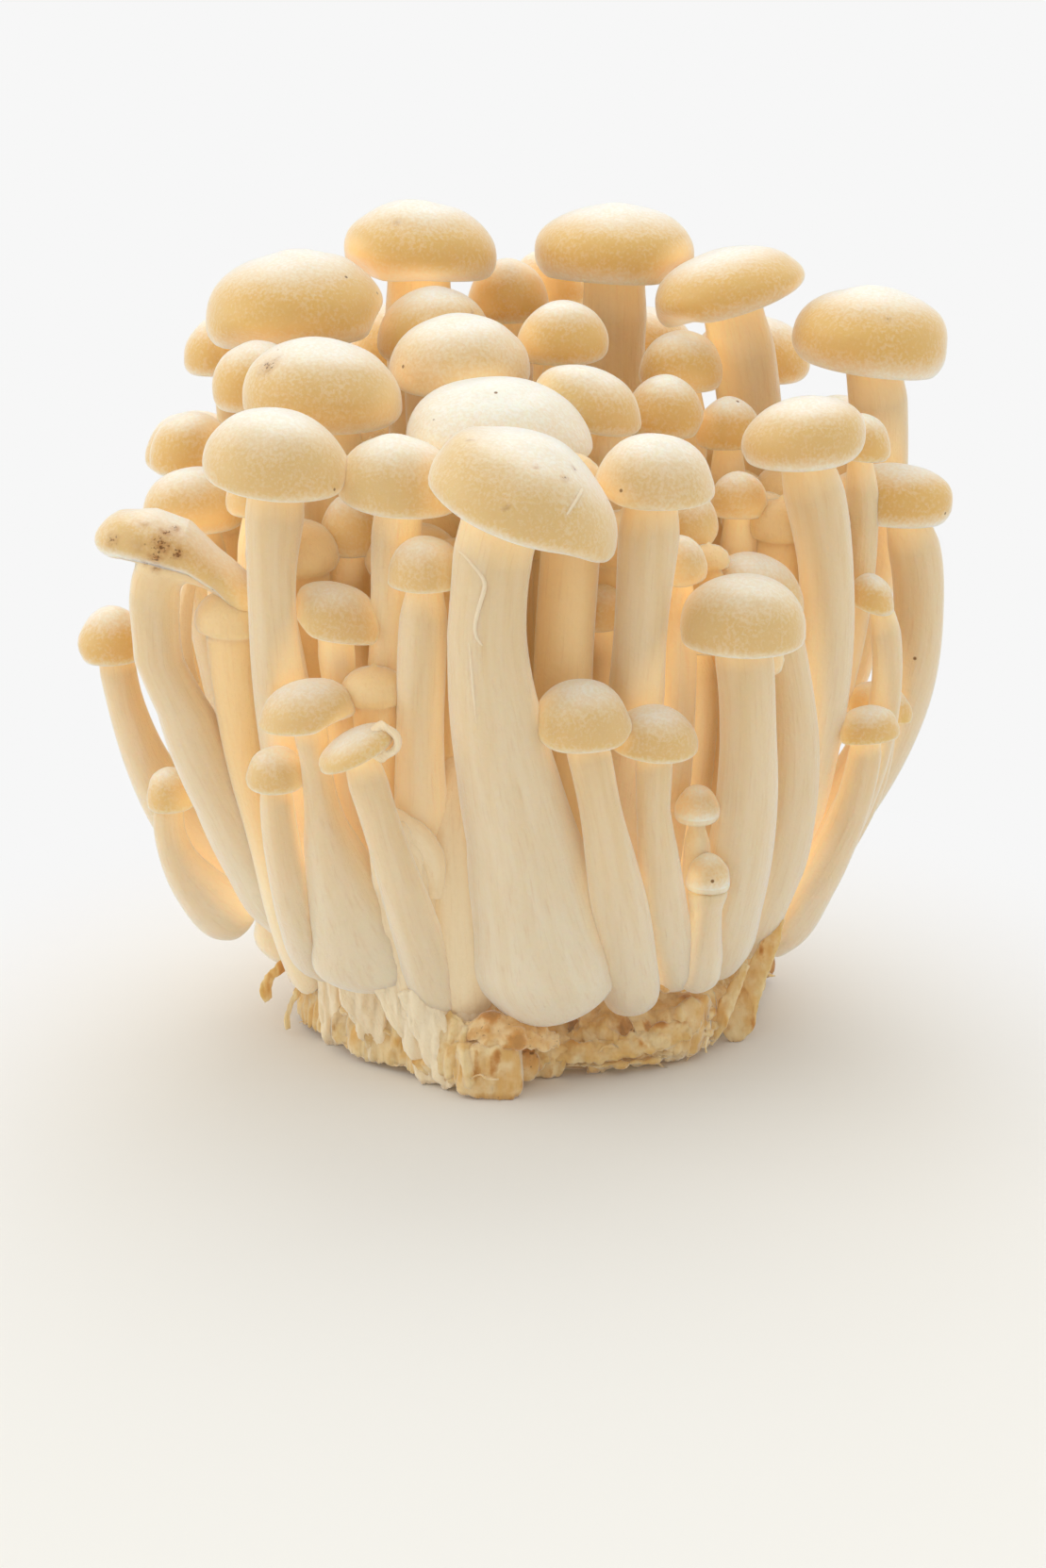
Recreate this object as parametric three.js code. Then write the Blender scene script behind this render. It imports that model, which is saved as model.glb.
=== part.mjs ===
// A bunch of white shimeji: many mushrooms grown from one root mass that is cut flat below.
// Millimetres, +Z up, front of the bunch towards -Y. The origin is the middle of the cut face.
import * as THREE from 'three';

// How the bunch grew
const contactGap = 0.45;        // clear space left where two pieces press on each other
const splayPerMm = 0.1;         // degrees that a cap leans outwards for each mm from the middle
const belly = 0.12;             // how far a stem bellies outwards, as a share of its cap's distance
const footPull = 0.58;          // a foot's distance from the middle, as a share of its cap's

// How neighbours make room for each other
const settling = {
  rounds: 70,                   // times that every pair is looked at
  give: 0.22,                   // share of an overlap that is pushed away each time
  footPress: 3.5, capPress: 0.7,  // how deep neighbours may press before they push
  firmFront: -18,               // mushrooms in front of this line stand firm
  firmness: 0.04,               // how much they still give way, where the others give 1
};

// The root mass: squarish in plan, lobed at its side, with a torn block that stands out in front
const root = {
  radius: 31, squareness: 2.8, height: 11.5, edgeHeight: 8.5, sectors: 44,
  blockReach: 6, blockAngle: -98, blockSpread: 10,
};
// Its section, from the cut face up: share of the radius, and height
const rootSection = [
  [0.5, 0], [0.95, 0], [1.0, 1.6], [1.02, 4.6], [0.99, 7.4],
  [0.86, 9], [0.66, 9.8], [0.44, 10.6], [0.22, 11.2],
];
const rootLobes = [[3, 0.035, 0.6], [7, 0.03, 2], [13, 0.025, 0]];  // count, depth, turn in radians

const capColour = 0xe9d9b4;
const rootColour = 0xd2b78c;

// A cap's section: share of its half width, and share of its height above the widest line
const capSection = [
  [0.62, -0.17], [0.88, -0.28], [0.98, -0.19], [1.0, -0.02], [0.91, 0.26], [0.68, 0.51], [0.36, 0.66],
];
const smallCapSection = [[0.66, -0.16], [0.92, -0.26], [1.0, -0.03], [0.86, 0.33], [0.48, 0.61]];
const capTop = 0.72;
const capUnder = 0.28;
const gillLine = -0.1;

// How finely each size of mushroom is built: vertices in a ring, and rings up the stem
const details = {
  large: { sides: 12, stemRings: 8, section: capSection },
  medium: { sides: 9, stemRings: 7, section: capSection },
  small: { sides: 8, stemRings: 5, section: smallCapSection },
};
const detailFor = (width) => (width > 17 ? details.large : width > 10 ? details.medium : details.small);

// Every mushroom. cap: middle of the cap at its widest line. size: cap width and height.
// stem: thickness under the cap and at the foot. Where they aren't grown by the rules above:
// foot: middle of the foot; lean: extra lean to the right and to the front, in degrees;
// bow: how far the stem bends aside, to the right and to the back.
const mushrooms = [
  {
    name: 'front_giant', cap: [-2, -42, 85], size: [25, 11], stem: [10.5, 19],
    foot: [4, -29, 10], lean: [18, 0], bow: [3, 0],
  },
  {
    name: 'front_tall', cap: [-4, -20, 91], size: [24, 11], stem: [10, 14],
    foot: [-8, -25, 12], lean: [-4, 2], bow: [-3, 0],
  },
  {
    name: 'front_right', cap: [17, -34, 86], size: [15, 8.5], stem: [7.5, 9],
    foot: [14, -16, 13], lean: [2, 0],
  },
  {
    name: 'front_low_left', cap: [7, -42, 55], size: [12, 9], stem: [5.5, 10],
    foot: [14, -26, 10], bow: [5, 0],
  },
  {
    name: 'front_low_right', cap: [17, -38, 52], size: [10.5, 7], stem: [5, 9],
    foot: [20, -23, 12], bow: [1, 0],
  },
  {
    name: 'twin_front', cap: [28, -33, 66], size: [16, 9.5], stem: [7.5, 10],
    foot: [25, -17, 11], bow: [2, 0],
  },
  {
    name: 'twin_back', cap: [31, -19, 69], size: [15, 9], stem: [7, 10],
    foot: [29, -10, 11], bow: [10, 0],
  },

  {
    name: 'right_tall', cap: [37, -15, 86], size: [16, 9], stem: [8, 10],
    foot: [31, -3, 11], bow: [10, 0],
  },
  {
    name: 'right_peeping', cap: [46, -3, 83], size: [9, 6], stem: [4.5, 7],
    foot: [28, -1, 11], bow: [2, 3],
  },
  {
    name: 'right_outer', cap: [52, 4, 73], size: [13, 8.5], stem: [7, 10],
    foot: [31, 4, 11], bow: [8, 0],
  },
  {
    name: 'right_broad', cap: [49, 10, 93], size: [21, 12], stem: [8, 10],
    foot: [26, 9, 12], bow: [6, 0],
  },
  {
    name: 'right_slim', cap: [48, -9, 62], size: [8, 5.5], stem: [4, 7],
    foot: [31, -6, 11], bow: [2, 0],
  },
  {
    name: 'right_low_front', cap: [47, -10, 44], size: [8, 6], stem: [4.5, 8],
    foot: [31, -9, 11], bow: [-5, 0],
  },
  {
    name: 'right_low_back', cap: [50, 0, 44], size: [8, 6], stem: [4.5, 7],
    foot: [32, 1, 11], bow: [-3, 0],
  },

  {
    name: 'left_large', cap: [-32, -34, 88], size: [19, 10], stem: [7.5, 10],
    foot: [-23, -16, 11], bow: [-1, 0],
  },
  {
    name: 'left_inner', cap: [-16, -35, 85], size: [15, 9.5], stem: [6.5, 9],
    foot: [-15, -16, 12], bow: [-4, 5],
  },
  { name: 'left_inner_low', cap: [-14, -38, 75], size: [9.5, 7], stem: [6, 9], foot: [-13, -19, 13] },
  {
    name: 'left_slender', cap: [-27, -34, 67], size: [11, 8], stem: [5, 7],
    foot: [-24, -19, 11], bow: [3, 0],
  },
  {
    name: 'left_club', cap: [-28, -37, 55], size: [12, 6.5], stem: [4.5, 11],
    foot: [-21, -26, 14], bow: [3, 0],
  },
  {
    name: 'left_curled', cap: [-23, -43, 52], size: [10, 6], stem: [5, 8],
    foot: [-11, -28, 8], lean: [-4, 4], bow: [7, 0],
  },
  {
    name: 'left_stub', cap: [-34, -37, 46], size: [8, 6], stem: [4.5, 9],
    foot: [-27, -20, 13], bow: [4, 0],
  },
  {
    name: 'left_bent', cap: [-45, -25, 72], size: [22, 9], stem: [7.5, 11],
    foot: [-33, -14, 16], lean: [16, 0], bow: [5, 0],
  },
  {
    name: 'left_upper', cap: [-46, -12, 75], size: [14, 8], stem: [7, 10],
    foot: [-29, -8, 12], bow: [7, 0],
  },
  { name: 'left_upper_front', cap: [-39, -20, 80], size: [9, 6.5], stem: [5, 8] },
  { name: 'left_shoulder', cap: [-47, 4, 80], size: [12, 8], stem: [6, 8] },
  {
    name: 'left_outer', cap: [-58, -6, 55], size: [10, 7.5], stem: [5, 11],
    foot: [-38, -5, 16], bow: [6, 0],
  },
  {
    name: 'left_low', cap: [-50, -14, 35], size: [7, 6], stem: [4, 9],
    foot: [-40, -10, 15], bow: [3, 0],
  },

  { name: 'crown_left', cap: [-27, -12, 92], size: [21, 11], stem: [8, 10] },
  { name: 'crown_left_back', cap: [-37, 1, 91], size: [13, 9], stem: [7, 9] },
  { name: 'crown_front', cap: [-9, -2, 94], size: [19, 10], stem: [8, 10] },
  { name: 'crown_middle', cap: [-13, 14, 95], size: [16, 10], stem: [8, 10] },
  { name: 'crown_front_right', cap: [9, -12, 91], size: [13, 8], stem: [7, 9] },
  { name: 'crown_centre', cap: [5, 8, 95], size: [13, 8], stem: [7, 9] },
  { name: 'crown_high_left', cap: [-16, 24, 102], size: [21, 11], stem: [9, 10] },
  { name: 'crown_great_left', cap: [-34, 16, 96], size: [25, 13], stem: [9, 10] },
  { name: 'crown_lobe', cap: [-45, 27, 91], size: [13, 8], stem: [6, 8] },
  { name: 'crown_back_middle', cap: [-3, 33, 95], size: [12, 9], stem: [7, 9] },
  { name: 'crown_back', cap: [3, 43, 95], size: [12, 8], stem: [6, 9] },
  { name: 'crown_high_right', cap: [13, 30, 102], size: [22, 11], stem: [9, 10] },
  { name: 'crown_right', cap: [28, 19, 99], size: [20, 10], stem: [9, 10], lean: [-15, 0] },
  { name: 'crown_inner_right', cap: [19, 1, 86], size: [11, 8], stem: [6, 8] },
  { name: 'crown_inner_back', cap: [22, 13, 90], size: [12, 8], stem: [7, 9] },
  { name: 'inner_right_high', cap: [28, 4, 83], size: [9, 7], stem: [5, 7] },
  { name: 'inner_right_mid', cap: [29, -8, 76], size: [8, 6], stem: [5, 7] },
  { name: 'inner_right_front', cap: [24, -18, 75], size: [9, 8], stem: [6, 8] },
  { name: 'inner_right_low', cap: [21, -27, 72], size: [8, 6], stem: [5, 8] },
  { name: 'inner_front_low', cap: [21, -25, 61], size: [8, 5.5], stem: [5, 8] },
  { name: 'inner_front_mid', cap: [10, -25, 65], size: [8, 5.5], stem: [5, 8] },
  { name: 'inner_left_mid', cap: [-24, -21, 75], size: [8, 8], stem: [5, 8] },

  { name: 'rear_left_outer', cap: [-46, 28, 73], size: [14, 8], stem: [7, 9] },
  { name: 'rear_left', cap: [-34, 38, 83], size: [18, 9], stem: [8, 10] },
  { name: 'rear_left_inner', cap: [-17, 44, 86], size: [19, 10], stem: [8, 11] },
  { name: 'rear_middle', cap: [-3, 50, 74], size: [15, 8], stem: [7, 11] },
  { name: 'rear_right_inner', cap: [17, 46, 85], size: [18, 9], stem: [8, 10] },
  { name: 'rear_right', cap: [33, 36, 86], size: [17, 9], stem: [8, 10] },
  { name: 'rear_right_outer', cap: [45, 26, 77], size: [14, 8], stem: [7, 9] },
  { name: 'rear_low_left', cap: [-27, 46, 59], size: [12, 7], stem: [5, 9] },
  { name: 'rear_low_right', cap: [22, 50, 58], size: [12, 7], stem: [5, 9] },
  { name: 'rear_low_outer', cap: [40, 39, 52], size: [10, 6.5], stem: [5, 8] },
];

const radians = THREE.MathUtils.degToRad;
const { lerp, clamp } = THREE.MathUtils;
const smooth = (share) => THREE.MathUtils.smoothstep(share, 0, 1);

// Height of the root mass where a foot stands
function rootTop(x, y) {
  const reach = Math.min(Math.hypot(x, y) / root.radius, 1);
  return lerp(root.height, root.edgeHeight, reach * reach);
}

// A mushroom's form: the three control points that its stem follows, its cap's axis and half sizes
function grow(entry) {
  const cap = new THREE.Vector3(...entry.cap);
  const [leanRight, leanFront] = entry.lean ?? [0, 0];
  const right = radians(splayPerMm * cap.x + leanRight);
  const front = radians(leanFront - splayPerMm * cap.y);
  const axis = new THREE.Vector3(Math.tan(right), -Math.tan(front), 1).normalize();
  const foot = new THREE.Vector3(...(entry.foot ?? [cap.x * footPull, cap.y * footPull, 0]));
  if (!entry.foot) foot.z = rootTop(foot.x, foot.y) + contactGap;
  const [bowRight, bowBack] = entry.bow ?? [0, 0];
  const knee = cap.clone().addScaledVector(axis, -0.5 * cap.distanceTo(foot));
  knee.add(new THREE.Vector3(bowRight + belly * cap.x, bowBack + belly * cap.y, 0));
  const [width, height] = entry.size;
  const [neck, bulb] = entry.stem.map((thickness) => thickness / 2);
  const give = cap.y < settling.firmFront ? settling.firmness : 1;
  return { name: entry.name, foot, knee, cap, axis, width, half: width / 2, height, neck, bulb, give };
}

const stemCurve = ({ foot, knee, cap }) => new THREE.QuadraticBezierCurve3(foot, knee, cap);

// Stem radius: rounded at the foot, swollen just above it, tapering upwards, a little wider under the cap
function stemRadius({ bulb, neck }, along) {
  const body = lerp(bulb, neck, clamp((along - 0.1) / 0.65, 0, 1));
  const rounding = Math.sqrt(1 - (1 - Math.min(along / 0.1, 1)) ** 2);
  return body * (0.4 + 0.6 * rounding) * (1 + 0.12 * smooth((along - 0.82) / 0.18));
}

// The distance that a cap reaches from its middle in a direction, taken as an ellipsoid
function capReach({ axis, half, height }, direction) {
  const rise = direction.dot(axis);
  const out = Math.sqrt(Math.max(1 - rise * rise, 0));
  return Math.hypot(out * half, rise * height * (rise > 0 ? capTop : capUnder));
}

// Moves a point of a mushroom by moving the control points that it hangs on. A foot keeps its height.
function shift({ foot, knee, cap, give }, along, push) {
  const weights = [(1 - along) ** 2, 2 * along * (1 - along), along * along];
  const total = weights.reduce((sum, weight) => sum + weight * weight, 0);
  const footHeight = foot.z;
  [foot, knee, cap].forEach((point, i) => point.addScaledVector(push, (give * weights[i]) / total));
  foot.z = footHeight;
}

const stemSteps = [0.04, 0.12, 0.22, 0.33, 0.44, 0.55, 0.66, 0.77, 0.87];

// The round spots of a mushroom that neighbours can push on: along its stem, and its cap
function spotsOf(mushroom) {
  const curve = stemCurve(mushroom);
  const stem = stemSteps.map((along) => {
    const radius = stemRadius(mushroom, along);
    return { along, at: curve.getPoint(along), reach: () => radius };
  });
  const capSpot = { along: 1, at: mushroom.cap.clone(), reach: (direction) => capReach(mushroom, direction) };
  return [...stem, capSpot];
}

function pushApart(first, spot, second, other) {
  const between = other.at.clone().sub(spot.at);
  const distance = between.length();
  if (distance > first.width + second.width) return;
  between.divideScalar(distance);
  const highness = smooth(Math.min(spot.along + other.along, 1));
  const allowed = lerp(settling.footPress, settling.capPress, highness);
  const depth = spot.reach(between) + other.reach(between.clone().negate()) - distance - allowed;
  if (depth <= 0) return;
  const share = (settling.give * depth) / (first.give + second.give);
  shift(first, spot.along, between.clone().multiplyScalar(-share));
  shift(second, other.along, between.clone().multiplyScalar(share));
}

// Neighbours push each other aside until they only press lightly
function settle(all) {
  for (let round = 0; round < settling.rounds; round += 1) {
    const spots = all.map(spotsOf);
    for (let i = 0; i < all.length; i += 1) {
      for (let j = i + 1; j < all.length; j += 1) {
        for (const spot of spots[i]) {
          for (const other of spots[j]) pushApart(all[i], spot, all[j], other);
        }
      }
    }
  }
}

// Distance from a point to a mushroom's surface, negative inside
function distanceTo({ spine, cap, axis, half, height }, point) {
  let nearest = Infinity;
  for (let i = 1; i < spine.length; i += 1) {
    const [from, to] = [spine[i - 1], spine[i]];
    const along = to.at.clone().sub(from.at);
    const share = clamp(point.clone().sub(from.at).dot(along) / along.lengthSq(), 0, 1);
    const at = from.at.clone().addScaledVector(along, share);
    nearest = Math.min(nearest, at.distanceTo(point) - lerp(from.radius, to.radius, share));
  }
  const offset = point.clone().sub(cap);
  const rise = offset.dot(axis);
  const out = Math.sqrt(Math.max(offset.lengthSq() - rise * rise, 0));
  const tall = height * (rise > 0 ? capTop : capUnder);
  const scaled = Math.hypot(out / half, rise / tall);
  const slope = Math.hypot(out / half ** 2, rise / tall ** 2);
  return Math.min(nearest, slope > 0 ? (scaled * (scaled - 1)) / slope : -tall);
}

// Notes where a settled mushroom's stem runs, and how far its neighbours must be looked for
function measure(mushroom) {
  const curve = stemCurve(mushroom);
  const steps = [0, ...stemSteps, 0.96];
  mushroom.spine = steps.map((along) => ({ at: curve.getPoint(along), radius: stemRadius(mushroom, along) }));
  mushroom.middle = curve.getPoint(0.5);
  mushroom.span = mushroom.foot.distanceTo(mushroom.cap) / 2 + mushroom.half + 4;
}

// One ring of vertices, each with the inner point that it gives way towards
function addRing(points, centre, direction, radius, sides, inner) {
  const side = new THREE.Vector3(0, 1, 0).cross(direction).normalize();
  const back = direction.clone().cross(side).normalize();
  for (let i = 0; i < sides; i += 1) {
    const angle = (2 * Math.PI * i) / sides;
    const at = centre.clone().addScaledVector(side, radius * Math.cos(angle));
    at.addScaledVector(back, radius * Math.sin(angle));
    points.push({ at, inner: inner ?? centre.clone() });
  }
}

// Joins a first vertex, rings of vertices and a last vertex into one closed skin
function skinFaces(ringCount, sides) {
  const faces = [];
  const last = ringCount * sides + 1;
  const topRing = last - sides;
  for (let i = 0; i < sides; i += 1) {
    const next = (i + 1) % sides;
    faces.push([0, 1 + next, 1 + i]);
    for (let low = 1; low < topRing; low += sides) {
      const high = low + sides;
      faces.push([low + i, low + next, high + next], [low + i, high + next, high + i]);
    }
    faces.push([topRing + i, topRing + next, last]);
  }
  return faces;
}

function mushroomSkin(mushroom) {
  const { foot, cap, axis, half, height, neck } = mushroom;
  const { sides, stemRings, section } = detailFor(mushroom.width);
  const curve = stemCurve(mushroom);
  const points = [{ at: foot.clone(), inner: curve.getPoint(0.06) }];
  for (let i = 0; i < stemRings; i += 1) {
    const along = i === 0 ? 0.025 : lerp(0.08, 0.9, (i - 1) / (stemRings - 2));
    addRing(points, curve.getPoint(along), curve.getTangent(along), stemRadius(mushroom, along), sides);
  }
  const atHeight = (share) => cap.clone().addScaledVector(axis, share * height);
  const gillRadius = Math.min(neck * 1.25, 0.85 * section[0][0] * half);  // inside the cap's first ring
  addRing(points, atHeight(gillLine), axis, gillRadius, sides);
  for (const [out, rise] of section) {
    const inner = rise < 0 ? undefined : cap.clone();  // the underside gives way level, the top towards the middle
    addRing(points, atHeight(rise), axis, out * half, sides, inner);
  }
  points.push({ at: atHeight(capTop), inner: cap.clone() });
  return { points, faces: skinFaces(stemRings + 1 + section.length, sides) };
}

// How far a point must draw back so that the gap stays between its own piece and its neighbours.
// Two mushrooms share the room between them. The root mass, which has no own form, gives it all.
function pressure(own, others, point) {
  let depth = 0;
  for (const other of others) {
    const room = distanceTo(other, point);
    depth = Math.max(depth, own ? (distanceTo(own, point) + contactGap - room) / 2 : contactGap - room);
  }
  return depth;
}

function drawBack(vertex, depth) {
  const inward = vertex.inner.clone().sub(vertex.at);
  const length = inward.length();
  if (length > 0.3) vertex.at.addScaledVector(inward, Math.min(depth / length, 0.6));
}

// Shares of a triangle's corners at the middles of its edges and of its face
const faceSamples = [[0.5, 0.5, 0], [0, 0.5, 0.5], [0.5, 0, 0.5], [1 / 3, 1 / 3, 1 / 3]];

// Flattens a skin where neighbours press on it, first at its vertices and then along its faces
function press(skin, own, others) {
  for (let pass = 0; pass < 8; pass += 1) {
    for (const vertex of skin.points) drawBack(vertex, pressure(own, others, vertex.at));
  }
  for (let pass = 0; pass < 5; pass += 1) {
    const depths = new Float64Array(skin.points.length);
    for (const face of skin.faces) {
      for (const shares of faceSamples) {
        const sample = new THREE.Vector3();
        shares.forEach((share, i) => sample.addScaledVector(skin.points[face[i]].at, share));
        const depth = pressure(own, others, sample);
        for (const index of face) depths[index] = Math.max(depths[index], depth);
      }
    }
    depths.forEach((depth, index) => drawBack(skin.points[index], depth));
  }
}

// How far the root mass reaches at an angle, with its lobes and the torn block in front
function rootReach(out, angle) {
  const n = root.squareness;
  const square = (Math.abs(Math.cos(angle)) ** n + Math.abs(Math.sin(angle)) ** n) ** (-1 / n);
  let lobes = 0;
  for (const [count, depth, turn] of rootLobes) lobes += depth * Math.sin(count * angle + turn);
  const fromBlock = angle - radians(root.blockAngle);
  const aside = Math.atan2(Math.sin(fromBlock), Math.cos(fromBlock)) / radians(root.blockSpread);
  const block = root.blockReach * Math.exp(-(aside ** 4)) * smooth((out - 0.8) / 0.2);
  return root.radius * square * out * (1 + lobes * smooth(out)) + block;
}

// The root mass: flat below, lobed and torn at its side, domed on top
function rootSkin() {
  const points = [{ at: new THREE.Vector3(), inner: new THREE.Vector3() }];
  for (const [out, z] of rootSection) {
    for (let i = 0; i < root.sectors; i += 1) {
      const angle = (2 * Math.PI * i) / root.sectors;
      const reach = rootReach(out, angle);
      const at = new THREE.Vector3(reach * Math.cos(angle), reach * Math.sin(angle), z);
      points.push({ at, inner: new THREE.Vector3(at.x * 0.7, at.y * 0.7, Math.min(z, 1)) });
    }
  }
  points.push({ at: new THREE.Vector3(0, 0, root.height), inner: new THREE.Vector3(0, 0, 1) });
  return { points, faces: skinFaces(rootSection.length, root.sectors) };
}

function meshOf(name, skin, colour, roughness) {
  const geometry = new THREE.BufferGeometry();
  const places = skin.points.flatMap((vertex) => vertex.at.toArray());
  geometry.setAttribute('position', new THREE.Float32BufferAttribute(places, 3));
  geometry.setIndex(skin.faces.flat());
  geometry.computeVertexNormals();
  const material = new THREE.MeshStandardMaterial({ color: colour, roughness, metalness: 0 });
  const mesh = new THREE.Mesh(geometry, material);
  mesh.name = name;
  return mesh;
}

const group = new THREE.Group();
const grown = mushrooms.map(grow);
settle(grown);
grown.forEach(measure);

for (const mushroom of grown) {
  const isNear = ({ middle, span }) => middle.distanceTo(mushroom.middle) < span + mushroom.span;
  const neighbours = grown.filter((other) => other !== mushroom && isNear(other));
  const skin = mushroomSkin(mushroom);
  press(skin, mushroom, neighbours);
  group.add(meshOf(mushroom.name, skin, capColour, 0.6));
}

const rootMass = rootSkin();
press(rootMass, null, grown);
group.add(meshOf('root_mass', rootMass, rootColour, 0.85));

export default group;
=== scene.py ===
# White shimeji: a bunch of many small-capped mushrooms on one torn root mass, standing on a pale table.
import math

import bpy
import numpy as np
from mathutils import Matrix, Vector, noise
from mathutils.bvhtree import BVHTree


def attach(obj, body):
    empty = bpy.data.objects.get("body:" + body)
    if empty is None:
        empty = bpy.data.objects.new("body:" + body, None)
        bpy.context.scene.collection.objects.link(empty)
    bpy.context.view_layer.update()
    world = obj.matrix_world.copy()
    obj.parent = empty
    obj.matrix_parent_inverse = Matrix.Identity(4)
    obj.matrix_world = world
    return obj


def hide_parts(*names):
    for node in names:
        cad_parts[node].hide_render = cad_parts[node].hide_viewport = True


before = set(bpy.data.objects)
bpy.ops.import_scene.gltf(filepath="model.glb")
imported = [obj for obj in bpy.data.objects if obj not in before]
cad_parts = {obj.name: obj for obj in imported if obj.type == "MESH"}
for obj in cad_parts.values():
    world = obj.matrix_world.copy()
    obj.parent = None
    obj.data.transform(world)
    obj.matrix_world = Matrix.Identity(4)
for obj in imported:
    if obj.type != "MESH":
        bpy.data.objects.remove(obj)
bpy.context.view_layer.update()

mm = 0.001
rootNode = "root_mass"
mushroomNodes = sorted(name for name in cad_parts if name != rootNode)
scene = bpy.context.scene


def linearColour(code):
    # "#RRGGBB" as sRGB, to the linear colour that a socket wants
    shares = [int(code[i:i + 2], 16) / 255 for i in (1, 3, 5)]
    return [s / 12.92 if s <= 0.04045 else ((s + 0.055) / 1.055) ** 2.4 for s in shares] + [1.0]


def addNode(tree, kind, inputs=(), output=0, **settings):
    # a node with its settings; inputs are values or links, by socket name or in order. It returns one output,
    # or the whole node where output is None
    node = tree.nodes.new(kind)
    for name, value in settings.items():
        setattr(node, name, value)
    for name, value in inputs.items() if isinstance(inputs, dict) else enumerate(inputs):
        if isinstance(value, bpy.types.NodeSocket):
            tree.links.new(value, node.inputs[name])
        else:
            node.inputs[name].default_value = value
    return node if output is None or not node.outputs else node.outputs[output]


def smooth(share):
    share = np.clip(share, 0, 1)
    return share * share * (3 - 2 * share)


def mergedMesh(nodeName):
    # a node's corners with doubles merged, and its triangles
    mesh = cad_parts[nodeName].data
    corners = np.zeros(len(mesh.vertices) * 3)
    mesh.vertices.foreach_get("co", corners)
    triangles = np.zeros(len(mesh.loops), int)
    mesh.loops.foreach_get("vertex_index", triangles)
    corners = corners.reshape(-1, 3)
    _, first, merged = np.unique(np.round(corners * 1e7).astype(int), axis=0,
                                 return_index=True, return_inverse=True)
    return corners[first], merged.ravel()[triangles].reshape(-1, 3)


def ringsOf(nodeName):
    # a node as its rings of points from foot to crown, the two end points repeated as rings
    points, triangles = mergedMesh(nodeName)
    near = [set() for _ in points]
    for a, b, c in triangles:
        near[a] |= {b, c}
        near[b] |= {a, c}
        near[c] |= {a, b}
    ends = sorted(range(len(points)), key=lambda i: -len(near[i]))[:2]
    foot, crown = sorted(ends, key=lambda i: points[i][2])
    nextOf = {}
    for triangle in triangles.tolist():
        if foot in triangle:
            at = triangle.index(foot)
            nextOf[triangle[(at + 2) % 3]] = triangle[(at + 1) % 3]
    ring = [max(nextOf, key=lambda i: points[i][0])]
    while len(ring) < len(nextOf):
        ring.append(nextOf[ring[-1]])
    rings, seen = [], {foot, crown}
    while ring:
        rings.append(ring)
        seen |= set(ring)
        found = [(near[v] & near[ring[i - 1]]) - seen for i, v in enumerate(ring)]
        ring = [options.pop() for options in found] if all(found) else []
    whole = [[foot] * len(nextOf)] + rings + [[crown] * len(nextOf)]
    return points[np.array(whole)]


def curveShares(place, count, closed):
    # each row: the share that every control point has in one place of a smooth curve
    low = np.floor(place).astype(int)
    f = place - low
    weights = [(1 - f) ** 3, 3 * f ** 3 - 6 * f ** 2 + 4, -3 * f ** 3 + 3 * f ** 2 + 3 * f + 1, f ** 3]
    shares = np.zeros((len(place), count))
    for k, weight in enumerate(weights):
        at = (low + k - 1) % count if closed else np.clip(low + k - 1, 0, count - 1)
        np.add.at(shares, (np.arange(len(place)), at), weight / 6)
    return shares


def throughPoints(count, samples):
    # shares of a closed smooth curve that passes through its points
    at = curveShares(np.arange(count, dtype=float), count, True)
    return curveShares(np.arange(samples) * count / samples, count, True) @ np.linalg.inv(at)


def smoothPath(points, count):
    # an open smooth curve that keeps close to its points
    points = np.asarray(points, float)
    return curveShares(np.linspace(0, len(points) - 1, count), len(points), False) @ points


def tapered(count, start, power):
    # widths along a band that narrows to both its ends
    return np.sin(np.linspace(start, math.pi - start, count)) ** power


def smoothSkin(rings, around, step, fewest=3):
    # rows of points, closely spaced, on a smooth skin through the rings, and where each row lies among them
    rings = np.einsum("mn,rnk->rmk", throughPoints(rings.shape[1], around), rings)
    gaps = np.linalg.norm(np.diff(rings, axis=0), axis=2).mean(axis=1)
    beyond = [np.roll(rings[i], around // 2, axis=0)[None] for i in (1, -2)]
    extended = np.concatenate([beyond[0], rings, beyond[1]])
    spans = np.concatenate([gaps[:1], gaps, gaps[-1:]])[:, None, None]
    slopes = np.diff(extended, axis=0) / spans
    tangents = (slopes[:-1] * spans[1:] + slopes[1:] * spans[:-1]) / (spans[:-1] + spans[1:])
    rows, places = [], []
    for k, gap in enumerate(gaps):
        count = max(fewest, math.ceil(gap / step))
        f = (np.arange(count) / count)[:, None, None]
        rows.append((2 * f ** 3 - 3 * f ** 2 + 1) * rings[k] + (f ** 3 - 2 * f ** 2 + f) * gap * tangents[k]
                    + (3 * f ** 2 - 2 * f ** 3) * rings[k + 1] + (f ** 3 - f ** 2) * gap * tangents[k + 1])
        places.append(k + np.arange(count) / count)
    rows.append(rings[-1:])
    places.append([len(gaps)])
    return np.concatenate(rows), np.concatenate(places)


def softField(rng, rows, columns, long, around):
    # a smooth random field over a skin, about -1 to 1, seamless round it
    values = rng.uniform(-1.6, 1.6, (rows, columns))
    along = curveShares(np.linspace(0, rows - 1, long), rows, False)
    across = curveShares(np.arange(around) * columns / around, columns, True)
    return along @ values @ across.T


def outwards(rows):
    across = np.roll(rows, -1, axis=1) - np.roll(rows, 1, axis=1)
    along = np.gradient(rows, axis=0)
    normals = np.cross(across, along)
    return normals / np.maximum(np.linalg.norm(normals, axis=2, keepdims=True), 1e-12)


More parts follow.
